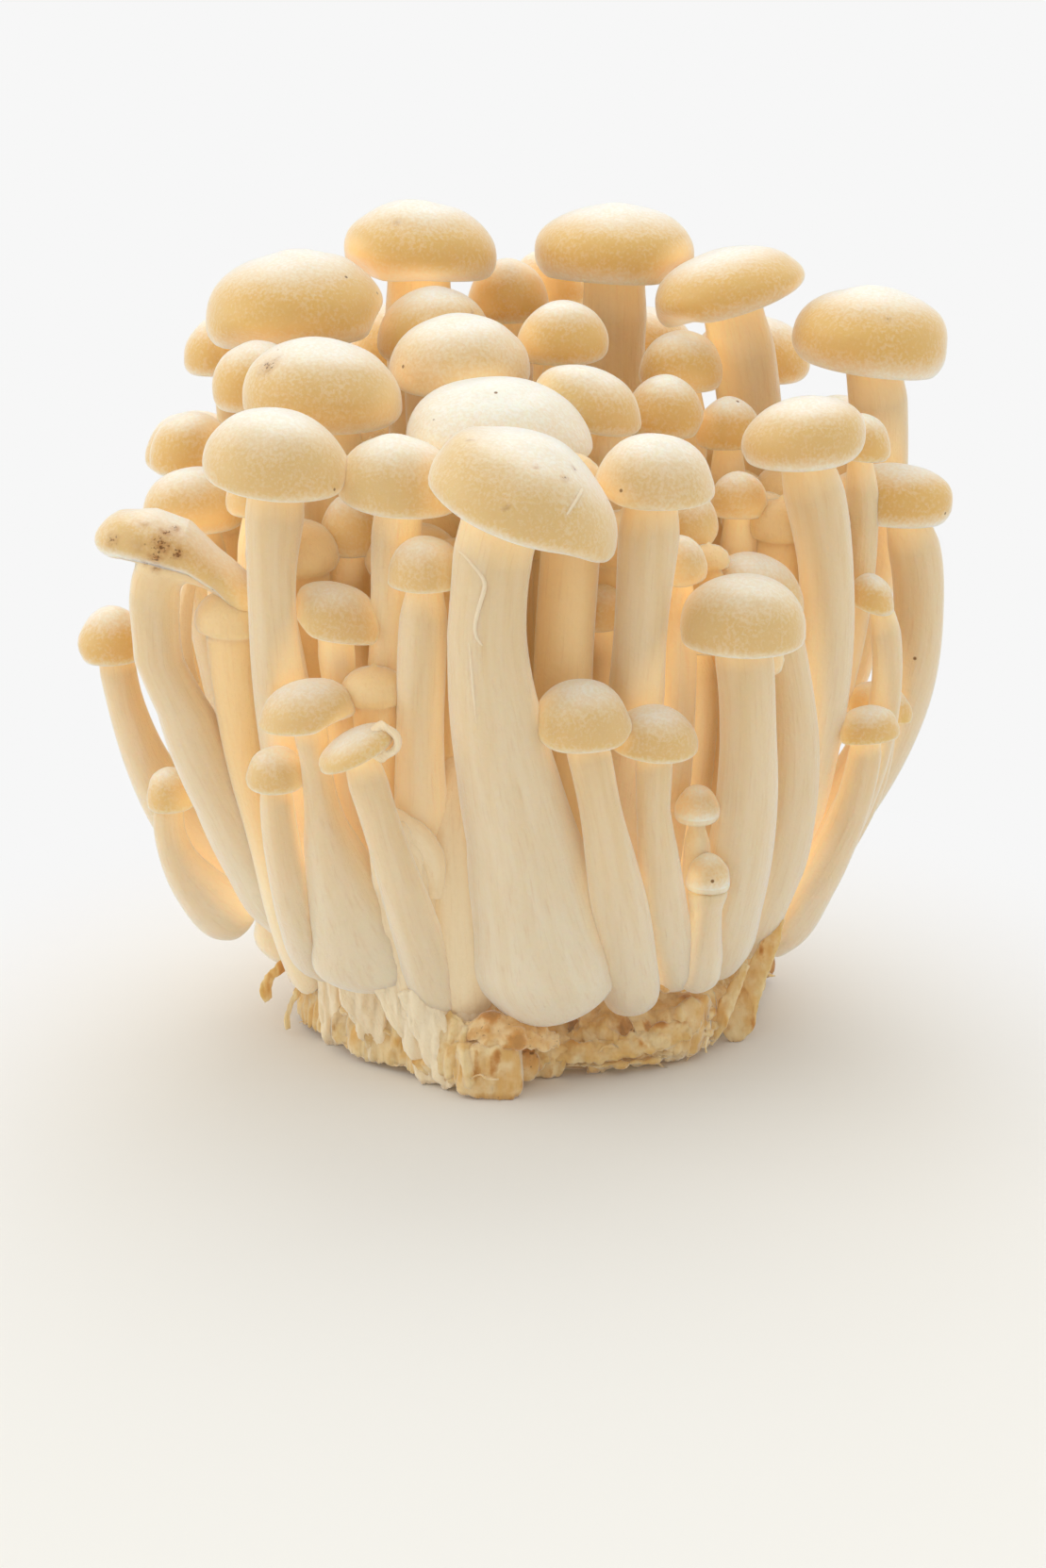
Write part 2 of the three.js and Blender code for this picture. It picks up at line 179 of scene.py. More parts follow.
def meshFromRows(name, rows, fields, materials=(), capRow=None):
    # a closed mesh from rows of points; its first and last rows are single points
    around, inner = rows.shape[1], len(rows) - 2

    def flat(field):
        width = field.shape[2] if field.ndim == 3 else 1
        field = field.reshape(len(rows), around, width)
        return np.concatenate([field[:1, 0], field[1:-1].reshape(-1, width), field[-1:, 0]])

    i = np.arange(around)
    j = (i + 1) % around
    start = 1 + around * np.arange(inner - 1)[:, None]
    quads = np.stack([start + i, start + j, start + around + j, start + around + i], axis=2).reshape(-1, 4)
    top = 1 + around * (inner - 1)
    last = top + around
    faces = [(0, 1 + b, 1 + a) for a, b in zip(i.tolist(), j.tolist())] + quads.tolist()
    faces += [(top + a, top + b, last) for a, b in zip(i.tolist(), j.tolist())]
    mesh = bpy.data.meshes.new(name)
    mesh.from_pydata(flat(rows).tolist(), [], faces)
    for label, field in fields.items():
        kind, slot = ("FLOAT_VECTOR", "vector") if field.ndim == 3 else ("FLOAT", "value")
        attribute = mesh.attributes.new(label, kind, "POINT")
        attribute.data.foreach_set(slot, flat(field).ravel().astype(np.float32))
    for material in materials:
        mesh.materials.append(material)
    if capRow is not None:
        rowOf = np.concatenate([np.zeros(around), np.repeat(np.arange(1, inner), around),
                                np.full(around, inner)])
        mesh.polygons.foreach_set("material_index", (rowOf >= capRow).astype(np.int32))
    mesh.polygons.foreach_set("use_smooth", np.ones(len(faces), bool))
    mesh.update()
    piece = bpy.data.objects.new(name, mesh)
    scene.collection.objects.link(piece)
    return piece


fleshLook = {
    "capMiddle": "#E6C890", "capMiddleCrown": "#E9BF70", "capRim": "#FBF5E8",
    "stemTop": "#EBD1A4", "stemFoot": "#F6E7CD", "fibre": "#D2A468",
    # flesh painted lighter and warmer where neighbours close it in and deep inside the bunch: a painted glow
    "crowded": "#FBE0AE", "inmost": "#F0CE98", "blemish": "#8F693F", "bruise": "#BC8446", "soil": "#74461A",
    "pebbleSize": 0.5 * mm, "pebbleDepth": 0.13 * mm, "dimpleSize": 1.6 * mm, "cloudSize": 5 * mm,
    "fibreWidth": 0.4 * mm, "fibreLength": 7 * mm, "fibreDepth": 0.14 * mm,
    "softDepth": 3 * mm, "softColour": (0.95, 0.7, 0.43), "capSoftness": 0.7,
    # a painted glow: emission where neighbours close the flesh in, its strength and its colours
    "throughLight": 0.3, "throughTop": "#F0CF90", "throughFoot": "#E4DDCA", "throughInmost": "#EFCB8C",
}


def newMaterial(name):
    material = bpy.data.materials.new(name)
    material.use_nodes = True
    tree = material.node_tree
    tree.nodes.clear()
    return material, tree


def unevenField(tree, name, *changes):
    # a field of the mesh; each change is a noise, its range, and how far it lowers and raises the field
    value = addNode(tree, "ShaderNodeAttribute", output="Fac", attribute_name=name)
    for change in changes:
        change = addNode(tree, "ShaderNodeMapRange", change, interpolation_type="SMOOTHSTEP")
        value = addNode(tree, "ShaderNodeMath", (value, change), operation="ADD")
    return value


def finishFlesh(material, tree, colour, height, depth, roughness, softness):
    # living fungus flesh: light enters a few millimetres and comes back warmer, plus a painted glow where
    # neighbours close it in
    tint = linearColour(fleshLook["throughTop"])
    for field, over in (("paleness", "throughFoot"), ("inmost", "throughInmost")):
        tint = addNode(tree, "ShaderNodeMix",
                       {0: unevenField(tree, field), 6: tint, 7: linearColour(fleshLook[over])},
                       2, data_type="RGBA")
    glowShare = addNode(tree, "ShaderNodeMath", (unevenField(tree, "crowding"), fleshLook["throughLight"]),
                    operation="MULTIPLY")
    through = addNode(tree, "ShaderNodeVectorMath", {0: tint, "Scale": glowShare}, operation="SCALE")
    bump = addNode(tree, "ShaderNodeBump", {"Height": height, "Distance": depth, "Strength": 1.0})
    shader = addNode(tree, "ShaderNodeBsdfPrincipled", {
        "Base Color": colour, "Roughness": roughness, "IOR": 1.4, "Specular IOR Level": 0.35,
        "Subsurface Weight": softness, "Subsurface Radius": fleshLook["softColour"],
        "Subsurface Scale": fleshLook["softDepth"], "Sheen Weight": 1.0, "Sheen Roughness": 0.4,
        "Sheen Tint": linearColour("#FFFFFF"), "Coat Weight": 0.35, "Coat Roughness": 0.35, "Coat IOR": 1.4,
        "Normal": bump, "Emission Color": through, "Emission Strength": 1.0}, subsurface_method="RANDOM_WALK")
    addNode(tree, "ShaderNodeOutputMaterial", {"Surface": shader})
    material.cycles.emission_sampling = "NONE"                 # a faint glow, not a lamp


def speckled(tree, coordinates, colour, size, rarity):
    # tiny brown flecks, in the few cells whose random shade is above the rarity
    cells = addNode(tree, "ShaderNodeTexVoronoi", {"Vector": coordinates, "Scale": 1 / size}, None,
                    feature="F1")
    shade = addNode(tree, "ShaderNodeSeparateColor", {"Color": cells.outputs["Color"]})
    chosen, dot = [addNode(tree, "ShaderNodeMapRange", limits,
                           interpolation_type="SMOOTHSTEP") for limits in (
        (shade, rarity, rarity + 0.01), (cells.outputs["Distance"], 0.04, 0.075, 1.0, 0.0))]
    share = addNode(tree, "ShaderNodeMath", (chosen, dot), operation="MULTIPLY")
    return addNode(tree, "ShaderNodeMix", {0: share, 6: colour, 7: linearColour(fleshLook["blemish"])}, 2,
                   data_type="RGBA")


def stained(tree, coordinates, colour, patches, crumbSize, colours, darkness):
    # a stain broken up by patches, and by dark crumbs where it is strong; darkness is the stain's pull on the
    # crumbs, the range in which they show, and how dark they get
    stain = unevenField(tree, "stain")
    crumbs = addNode(tree, "ShaderNodeTexNoise", {
        "Vector": coordinates, "Scale": 1 / crumbSize, "Detail": 3.0, "Roughness": 0.65})
    pull, low, high, darkest = darkness
    pulled = addNode(tree, "ShaderNodeMath", (stain, pull), operation="MULTIPLY")
    crumbs = addNode(tree, "ShaderNodeMath", (crumbs, pulled), operation="ADD")
    broken = addNode(tree, "ShaderNodeMapRange", patches, interpolation_type="SMOOTHSTEP")
    shares = (addNode(tree, "ShaderNodeMath", (stain, broken), operation="MULTIPLY"),
              addNode(tree, "ShaderNodeMapRange", (crumbs, low, high, 0.0, darkest),
                      interpolation_type="SMOOTHSTEP"))
    for share, over in zip(shares, colours):
        colour = addNode(tree, "ShaderNodeMix", {0: share, 6: colour, 7: linearColour(over)}, 2,
                         data_type="RGBA")
    return colour


def soiled(tree, coordinates, colour):
    # substrate rubbed into the skin: an ochre bruise broken up by dark crumbs
    patches = addNode(tree, "ShaderNodeTexNoise",
                      {"Vector": coordinates, "Scale": 1 / (0.9 * mm), "Detail": 3.0})
    return stained(tree, coordinates, colour, (patches, 0.35, 0.65, 0.4, 1.0), 0.42 * mm,
                   (fleshLook["bruise"], fleshLook["soil"]), (0.34, 0.74, 0.86, 0.85))


def shimejiCapSkin():
    # the dry, finely pebbled skin of a grown cap, satin and slightly see-through
    material, tree = newMaterial("shimejiCapSkin")
    place = addNode(tree, "ShaderNodeTexCoord", output="Object")
    clouds, pebbles, dimples = [addNode(tree, "ShaderNodeTexNoise", {
        "Vector": place, "Scale": 1 / fleshLook[size], "Detail": detail, "Roughness": roughness})
        for size, detail, roughness in (("cloudSize", 3.0, 0.5), ("pebbleSize", 2.0, 0.6),
                                        ("dimpleSize", 1.0, 0.5))]
    # painted glow: the cap is painted lighter and warmer where neighbours close it in
    crowded = addNode(tree, "ShaderNodeMath", (unevenField(tree, "crowding"), 0.6), operation="MULTIPLY")
    colour = linearColour(fleshLook["capMiddle"])
    for share, over in (
            (unevenField(tree, "warmth", (clouds, 0.3, 0.7, -0.12, 0.12)), "capMiddleCrown"),
            (unevenField(tree, "paleness", (pebbles, 0.35, 0.7, -0.1, 0.16), (clouds, 0.3, 0.7, -0.08, 0.08)),
             "capRim"),
            (crowded, "crowded")):
        colour = addNode(tree, "ShaderNodeMix", {0: share, 6: colour, 7: linearColour(fleshLook[over])}, 2,
                         data_type="RGBA")
    colour = soiled(tree, place, speckled(tree, place, colour, 4.2 * mm, 0.86))
    hollows = addNode(tree, "ShaderNodeMath", (dimples, 0.8), operation="MULTIPLY")
    height = addNode(tree, "ShaderNodeMath", (pebbles, hollows), operation="ADD")
    finishFlesh(material, tree, colour, height, fleshLook["pebbleDepth"], 0.5, fleshLook["capSoftness"])
    return material


def shimejiStemFlesh(name, softness):
    # long parallel fibres under a thin matt skin, which catch the light as fine lines along the stem
    material, tree = newMaterial(name)
    place = addNode(tree, "ShaderNodeTexCoord", output="Object")
    grain = addNode(tree, "ShaderNodeAttribute", output="Vector", attribute_name="grain")
    width, length = fleshLook["fibreWidth"], fleshLook["fibreLength"]
    fibres, bands = [addNode(tree, "ShaderNodeTexNoise", {
        "Vector": addNode(tree, "ShaderNodeMapping", {
            "Vector": grain, "Scale": (across / width, across / width, upwards / length)}),
        "Scale": 1.0, "Detail": detail, "Roughness": roughness})
        for across, upwards, detail, roughness in ((1, 1, 3.0, 0.55), (0.25, 0.3, 2.0, 0.5))]
    lines = addNode(tree, "ShaderNodeMapRange", (fibres, 0.5, 0.8, 0.0, 0.2), interpolation_type="SMOOTHSTEP")
    colour = linearColour(fleshLook["stemTop"])
    # painted glow: the stem is painted lighter and warmer where neighbours close it in and deep inside the
    # bunch
    for share, over in (
            (unevenField(tree, "paleness", (bands, 0.3, 0.7, -0.14, 0.14)), "stemFoot"),
            (unevenField(tree, "crowding"), "crowded"), (unevenField(tree, "inmost"), "inmost"),
            (lines, "fibre")):
        colour = addNode(tree, "ShaderNodeMix", {0: share, 6: colour, 7: linearColour(fleshLook[over])}, 2,
                         data_type="RGBA")
    colour = soiled(tree, place, speckled(tree, place, colour, 5.5 * mm, 0.9))
    grit = addNode(tree, "ShaderNodeTexNoise", {"Vector": place, "Scale": 1 / (0.5 * mm)})
    height = addNode(tree, "ShaderNodeMath", (fibres, grit), operation="ADD")
    finishFlesh(material, tree, colour, height, fleshLook["fibreDepth"], 0.55, softness)
    return material


capSkin = shimejiCapSkin()
stemFlesh = shimejiStemFlesh("shimejiStemFlesh", 0.7)
thinFlesh = shimejiStemFlesh("shimejiThinFlesh", 0.12)    # thin or grown together: light passes on, not back
print("materials ready")


def wholeBunchTree():
    points, faces, start = [], [], 0
    for name in mushroomNodes + [rootNode]:
        corners, triangles = mergedMesh(name)
        points += corners.tolist()
        faces += (triangles + start).tolist()
        start += len(corners)
    return BVHTree.FromPolygons(points, faces)


bunchTree = wholeBunchTree()
lookOut = {"reach": 13 * mm, "lift": 0.35 * mm, "rays": 14, "fade": 0.6}   # a far neighbour counts less


def rayFan(count):
    # directions spread over a half ball round +Z
    turns = np.arange(count) * math.pi * (3 - math.sqrt(5))
    rise = 1 - (np.arange(count) + 0.5) / count * 0.92
    out = np.sqrt(1 - rise ** 2)
    return np.stack([out * np.cos(turns), out * np.sin(turns), rise], axis=1)


fan = rayFan(lookOut["rays"])


def crowdingOf(rings):
    # 0 where a ring's point looks into the open, 1 where neighbours close it in; it sets the painted glow
    normals = outwards(rings)
    crowding = np.zeros(rings.shape[:2])
    for r in range(1, len(rings) - 1):
        for i, (point, normal) in enumerate(zip(rings[r], normals[r])):
            start, up = Vector(point), Vector(normal)
            side = up.orthogonal().normalized()
            turned = np.outer(fan[:, 0], side) + np.outer(fan[:, 1], up.cross(side)) + np.outer(fan[:, 2], up)
            start += up * lookOut["lift"]
            hits = [bunchTree.ray_cast(start, Vector(ray), lookOut["reach"])[3] for ray in turned]
            crowding[r, i] = np.mean([0 if hit is None else 1 - lookOut["fade"] * hit / lookOut["reach"]
                                      for hit in hits])
    crowding[0], crowding[-1] = crowding[1].mean(), crowding[-2].mean()
    return crowding


# Faces round a stem, by the number of sides the frame gives each size, and how strongly each kind of
# unevenness shows, in metres
skinLook = {
    "around": {12: 84, 9: 60, 8: 44}, "aroundGiant": 112,
    "flutes": 0.10 * mm, "waves": 0.22 * mm, "capWaves": 0.22 * mm, "rimWaves": 0.3 * mm,
    "fluteWidth": 3.0 * mm,
}
capRingCount = {12: 7, 9: 7, 8: 5}   # rings of the frame that make a cap

# How honey-coloured each cap is, from 0 to 1, by how far back it stands: the front ones are palest, and the
# warmth of the rear ones is partly their own colour, partly painted backlight
frontWarmth, crownWarmth = 0.22, 0.85


def warmthOf(rings):
    middle = rings[-1, 0]
    return frontWarmth + (crownWarmth - frontWarmth) * smooth((middle[1] + 0.03) / 0.04)


def grainOf(rows):
    # a stem straightened out: where a point lies round it, and how far up
    centres = rows.mean(axis=1)
    steps = np.linalg.norm(np.diff(rows, axis=0), axis=2).mean(axis=1)
    up = np.concatenate([[0], np.cumsum(steps)])
    radius = np.linalg.norm(rows - centres[:, None], axis=2)
    turn = np.arange(rows.shape[1]) * 2 * math.pi / rows.shape[1]
    up = np.repeat(up[:, None], rows.shape[1], 1)
    return np.stack([radius * np.cos(turn), radius * np.sin(turn), up], axis=2)


def capParts(rows, places, gillRing):
    # a cap's middle, half its width and half its height
    cap = rows[places > gillRing + 1].reshape(-1, 3)
    low, high = cap.min(axis=0), cap.max(axis=0)
    return (low + high) / 2, (high - low) / 2


def bendCroissant(rows, places, gillRing, onCap):
    # the broad left cap folded over its stem: a thick lobe, a waist and a drooping rounded end
    middle, half = capParts(rows, places, gillRing)
    u = (rows[..., 0] - middle[0]) / half[0]
    p, q = (rows[..., 1] - middle[1]) / half[1], (rows[..., 2] - middle[2]) / half[2]
    far = np.maximum(np.hypot(p, q), 1e-6)
    lobes = [-1, -0.7, -0.26, 0.14, 0.43, 0.66, 0.9]
    rise = np.interp(u, lobes, [2.4, 3.1, 2.5, 1.1, -1.9, -4.9, -7.0]) * mm
    tall = np.interp(u, lobes, [3.0, 3.3, 3.8, 3.6, 3.0, 3.6, 3.9]) * mm
    deep = np.interp(u, lobes, [4.2, 5.2, 6.0, 5.6, 4.2, 4.8, 4.6]) * mm
    blunt = np.sqrt(np.maximum(1 - np.abs(u) ** 5, 0.0))
    turned = np.stack([rows[..., 0] + 1.2 * mm * smooth(u), middle[1] + deep * blunt * p / far,
                       middle[2] + rise + tall * blunt * q / far], axis=2)
    height = rows[..., 2]
    aside = np.interp(height, np.array([36, 43, 51, 58.8, 66.6]) * mm,
                      np.array([2.0, 1.2, 0.2, -2.4, -2.9]) * mm)
    centres = rows.mean(axis=1, keepdims=True)
    stem = centres + (rows - centres) * np.interp(height, [45 * mm, 62 * mm], [1.0, 0.86])[..., None]
    stem[..., 0] += aside
    return stem * (1 - onCap[..., None]) + turned * onCap[..., None]


def droopTip(rows, places, gillRing, onCap):
    # the great front mushroom: a stem that swings to and fro, and a cap with a crisp edge and a drooping tip
    middle, half = capParts(rows, places, gillRing)
    u = (rows[..., 0] - middle[0]) / half[0]
    lean = 0.36                                                # the cap's own slope to the right
    level = middle[2] - lean * (rows[..., 0] - middle[0])
    t = np.clip((rows[..., 2] - level) / (1.1 * half[2]) + 0.5, 0, 1)
    right = smooth((u - 0.3) / 0.7)
    turned = rows.copy()
    turned[..., 2] += 1.6 * mm - 0.16 * half[2] * np.sin(math.pi * t) * (1 - u ** 2).clip(0, 1)
    turned[..., 2] -= 2.2 * mm * right ** 1.5
    turned[..., 0] += 0.4 * mm * right * (1 - t)
    turned[..., 2] += 1.1 * mm * smooth((-u - 0.25) / 0.6) * smooth((t - 0.4) / 0.5)  # a fuller left shoulder
    levels = np.array([16, 26.6, 37, 47.3, 57.5, 67.6, 77.7]) * mm
    aside = np.interp(rows[..., 2], levels, np.array([0.4, 1.7, 2.3, 1.5, 0.2, -1.5, -2.4]) * mm)
    girth = np.interp(rows[..., 2], levels, [1.08, 1.0, 0.98, 1.0, 1.03, 1.0, 0.93])
    centres = rows.mean(axis=1, keepdims=True)
    stem = centres + (rows - centres) * girth[..., None]
    stem[..., 0] += aside
    stem[..., 2] += 1.6 * mm * smooth((26 * mm - rows[..., 2]) / (12 * mm))
    return stem * (1 - onCap[..., None]) + turned * onCap[..., None]


def tiltLens(slope, wide, flat, aside=0.0, pillow=0.0, lift=0.0, bulb=None):
    # a cap made wider or flatter and tipped sideways, its right end lower for a positive slope; pillow lifts
    # its rim, or draws it down to a crisp edge below 0; bulb widens and shifts the stem at some heights
    def shape(rows, places, gillRing, onCap):
        middle, half = capParts(rows, places, gillRing)
        away = rows - middle
        turned = rows.copy()
        turned[..., 0] = middle[0] + away[..., 0] * wide + aside * mm
        t = np.clip(away[..., 2] / half[2] * 0.5 + 0.5, 0, 1)
        turned[..., 2] = (middle[2] + lift * mm + away[..., 2] * flat - slope * away[..., 0]
                          + pillow * half[2] * np.sin(math.pi * t) * (1 - t))
        stem = rows.copy()
        if bulb:
            levels, widths, asides = np.array(bulb).T
            centres = rows.mean(axis=1, keepdims=True)
            heights = rows[..., 2] / mm
            girth = np.interp(heights, levels, widths)
            shift = np.interp(heights, levels, asides) * mm
            stem[..., 0] = centres[..., 0] + (rows - centres)[..., 0] * girth + shift
            stem[..., 1] = centres[..., 1] + (rows - centres)[..., 1] * np.sqrt(girth)
        return stem * (1 - onCap[..., None]) + turned * onCap[..., None]
    return shape


reshaped = {
    "left_bent": bendCroissant, "front_giant": droopTip,
    "left_slender": tiltLens(0.22, 1.2, 0.82, 0.3, -0.2),
    "left_club": tiltLens(-0.12, 1.06, 0.82, 0.0, -0.3, 0.0,
                          ((5, 1.6, 1.2), (14, 1.75, 1.2), (24, 1.6, 0.9), (40, 1.0, 0))),
    "left_curled": tiltLens(-0.42, 1.02, 0.6, -0.6), "left_inner": tiltLens(0.12, 1.08, 0.95, 0.0, -0.2),
    "left_large": tiltLens(0.1, 1.03, 0.95, 0.0, -0.2), "right_tall": tiltLens(-0.15, 1.06, 0.95, 0.0, 0.35),
    "left_stub": tiltLens(0.0, 1.08, 0.92, 0.4, -0.1),
    "left_inner_low": tiltLens(0.0, 1.12, 0.92, 0.0, -0.25),
    "front_right": tiltLens(0.0, 1.05, 0.97, 0.4, -0.3),
    "front_low_left": tiltLens(0.0, 1.1, 0.88, 0.0, -0.3),
    "front_low_right": tiltLens(0.05, 1.12, 0.86, -0.6, -0.3, 0.0,
                                ((10, 1.0, 0), (25, 0.95, -1.2), (42, 0.9, -1.6), (52, 1.0, -0.6))),
    "twin_front": tiltLens(0.0, 1.08, 0.96, 0.0, -0.15),
    "twin_back": tiltLens(0.0, 1.0, 1.0, -1.0, 0.0, -3.8),
    "front_tall": tiltLens(0.08, 1.05, 0.85, 0.0, -0.2, -2.0),
    "crown_front_right": tiltLens(0.2, 1.15, 0.95, -3.2, 0.0, -0.8),
    "crown_left": tiltLens(0.08, 1.04, 0.98, -1.3, 0.0),
    "crown_front": tiltLens(0.0, 1.04, 0.95, 0.0, -0.15, -1.3),
    "crown_right": tiltLens(-0.1, 1.05, 0.9, 0.0, 0.4),
    "right_outer": tiltLens(-0.05, 1.42, 0.95, -2.3, 0.35),
    "right_broad": tiltLens(0.0, 1.03, 0.98, 0.0, 0.5),
    "crown_high_right": tiltLens(0.0, 1.05, 1.0, 0.0, 0.45),
    "crown_high_left": tiltLens(0.05, 1.04, 1.0, 0.0, 0.3),
    "crown_great_left": tiltLens(0.0, 1.0, 0.97, 0.0, 0.2),
    "right_slim": tiltLens(0.1, 0.8, 0.85, -1.2), "right_low_front": tiltLens(-0.15, 1.12, 0.75, -0.3, -0.2),
    "right_low_back": tiltLens(0.2, 1.2, 0.8, 0.3, -0.2),
}
# Caps painted paler than their neighbours', partly a painted highlight where they catch the most light
paledCaps = {"front_tall": 0.7, "crown_front": 0.25, "front_right": 0.15, "pin": 0.3}

# Marks on the flesh, seen from the front: millimetres right of and above the cap's middle, radius, strength
marked = {
    "left_bent": [(-2.3, 2.5, 1.6, 0.9), (0.0, 1.3, 0.9, 1.0), (-3.0, 1.0, 1.2, 1.0), (-9.0, 3.6, 0.9, 0.95),
                  (-1.7, 4.3, 0.8, 0.9), (-0.3, 4.8, 0.8, 0.8), (-3.4, -1.3, 0.8, 0.9), (-4.6, 5.3, 0.7, 0.6),
                  (-4.9, 2.2, 1.2, 0.4), (-4.3, 0.4, 0.6, 0.9), (-1.6, 2.4, 3.0, 0.35)],
    "crown_left": [(-7.4, 1.2, 1.3, 0.85), (-6.2, 2.2, 1.0, 0.5)],
    "front_giant": [(6.5, 3.2, 0.5, 1.0), (5.3, 1.5, 0.55, 0.95), (1.5, 2.7, 0.4, 0.7),
                    (-2.0, -2.4, 0.35, 0.8), (-7.1, 6.6, 0.35, 0.7)],
    "crown_high_left": [(-3, 1.5, 0.5, 0.7)], "right_broad": [(2, 0.5, 0.45, 0.7)],
    "twin_back": [(-4, 2.0, 0.3, 0.8)], "crown_right": [(5, 1.5, 0.45, 0.6)],
    "crown_middle": [(5.5, 0.5, 0.5, 0.7)],
}


def fromFront(rows):
    # how a place is seen from the front and a little above: right, and up
    return rows[..., 0], rows[..., 2] * math.cos(0.33) + rows[..., 1] * math.sin(0.33)


def spotOn(rows, right, above, allowed, middle):
    # the point of a skin that shows at a place of its front
    across, up = fromFront(rows)
    midAcross, midUp = fromFront(middle)
    away = np.hypot(across - midAcross - right * mm, up - midUp - above * mm)
    return np.where(allowed & (outwards(rows)[..., 1] < 0.25), away, 1.0).argmin()


def stainsOf(nodeName, rows, places, gillRing):
    stain = np.zeros(rows.shape[:2])
    middle, _ = capParts(rows, places, gillRing)
    for right, above, radius, strength in marked.get(nodeName, ()):
        spot = rows.reshape(-1, 3)[spotOn(rows, right, above, (places > gillRing)[:, None], middle)]
        near = np.linalg.norm(rows - spot, axis=2) / (radius * mm)
        stain = np.maximum(stain, strength * np.exp(-near ** 2))
    return stain


def growMushroom(name, rings, seed, around, step, warmth, crowding, nodeName="pin"):
    rng = np.random.default_rng(seed)
    rows, places = smoothSkin(rings, around, step)
    long = len(rows)
    gillRing = len(rings) - 2 - capRingCount[rings.shape[1]]
    grain = grainOf(rows)
    onCap = smooth((places - gillRing - 0.4) / 1.2)[:, None]
    radius = np.linalg.norm(rows - rows.mean(axis=1, keepdims=True), axis=2)
    crowdRows = np.stack([np.interp(places, np.arange(len(rings)), column)
                          for column in (throughPoints(rings.shape[1], around) @ crowding.T)], axis=1)
    crowdRows = np.clip(crowdRows, 0, 1)
    girth = 2 * math.pi * radius[(places > 2) & (places < gillRing)].mean()
    flutes = softField(rng, 4, max(5, round(girth / skinLook["fluteWidth"])), long, around)
    waves = softField(rng, 8, 5, long, around)
    capWaves = softField(rng, 40, 6, long, around)
    rimWaves = softField(rng, 2, 5, long, around) * np.exp(-((places - gillRing - 3) / 1.6) ** 2)[:, None]
    bulge = (skinLook["flutes"] * flutes + skinLook["waves"] * waves) * (1 - onCap)
    bulge += (skinLook["capWaves"] * capWaves + skinLook["rimWaves"] * rimWaves) * onCap
    bulge *= np.minimum(radius / (3 * mm), 1) * (1 - 0.6 * crowdRows)
    if nodeName in reshaped:
        rows = reshaped[nodeName](rows, places, gillRing, smooth((places - gillRing + 0.6) / 1.2)[:, None])
    rows = rows + outwards(rows) * bulge[:, :, None]
    rows[0], rows[-1] = rows[0].mean(axis=0), rows[-1].mean(axis=0)
    # a stem is paler towards its foot
    upStem = smooth(1.15 - (places / gillRing) ** 0.8)
    onTop = (places - gillRing) / (len(rings) - 1 - gillRing)
    # a cap is pale at its rim, partly its own colour and partly painted light through the thin edge, honey
    # round its middle, and pale on the crown, a painted highlight
    upCap = 1 - smooth((onTop - 0.22) / 0.28) + 0.85 * smooth((onTop - 0.6) / 0.32)
    upCap = upCap + (1 - upCap) * paledCaps.get(nodeName, 0)
    paleness = np.repeat((upStem * (1 - onCap[:, 0]) + upCap * onCap[:, 0])[:, None], around, axis=1)
    fields = {"grain": grain, "crowding": np.clip(crowdRows * 1.6 - 0.3, 0, 1.2), "paleness": paleness,
              "warmth": np.full(rows.shape[:2], float(warmth)),
              "stain": stainsOf(nodeName, rows, places, gillRing)}
    capRow = int(np.searchsorted(places, gillRing + 2)) - 1
    return meshFromRows(name, rows, fields, (stemFlesh, capSkin), capRow)


def pieceName(nodeName):
    first, *others = nodeName.split("_")
    return first + "".join(word.capitalize() for word in others)


for seed, nodeName in enumerate(mushroomNodes):
    rings = ringsOf(nodeName)
    sides = rings.shape[1]
    around = skinLook["aroundGiant"] if nodeName == "front_giant" else skinLook["around"][sides]
    radius = np.linalg.norm(rings[3] - rings[3].mean(axis=0), axis=1).mean()
    step = max(2 * math.pi * radius / around * 1.7, 0.55 * mm)
    piece = growMushroom(pieceName(nodeName), rings, seed, around, step, warmthOf(rings), crowdingOf(rings),
                         nodeName)
    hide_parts(nodeName)
    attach(piece, "root")
print("mushrooms grown:", len(mushroomNodes))


# Slim stems that fill the room left between the others, as in a real bunch, so that no daylight shows through
innerLook = {
    "grid": 5 * mm, "startHeights": (30 * mm, 50 * mm), "lowest": 8 * mm, "highest": 76 * mm,
    "levelStep": 7 * mm, "thinnest": 1.6 * mm, "thickest": 5.0 * mm, "gap": 0.1 * mm, "inside": 5.5 * mm,
    "around": 22, "clear": 2.5 * mm, "capReach": (0.75, 1.5 * mm),
    "capShares": ((0.93, 0.1), (1.0, 0.36), (0.88, 0.72), (0.56, 0.98), (0.14, 1.1)),
    # how strongly the fill stems glow and warm with painted light, and how much of it fades at the rear
    "rearShade": 0.6, "spread": 0.05, "step": 1.3 * mm, "warmth": 0.7,
    "placed": {"glow": 0.4, "inmost": 0.45}, "found": {"glow": 0.48, "inmost": 0.75},
}


# Stems that show between the front ones: radius and path, in millimetres
placedStems = [
    (4.0, [(6.2, -28, 12), (5.0, -30, 30), (4.4, -31, 48), (4.7, -31, 62), (5.6, -29, 74), (6.4, -27, 86)]),
    (2.6, [(-33, -17, 28), (-36.8, -17, 38), (-39.7, -17, 46), (-41.2, -17, 55), (-41.3, -17, 63),
           (-41.5, -16, 69)]),
    (2.3, [(-33, -15, 38), (-34.9, -15, 46), (-36.0, -15, 54), (-36.5, -15, 64), (-36.7, -15, 72)]),
]


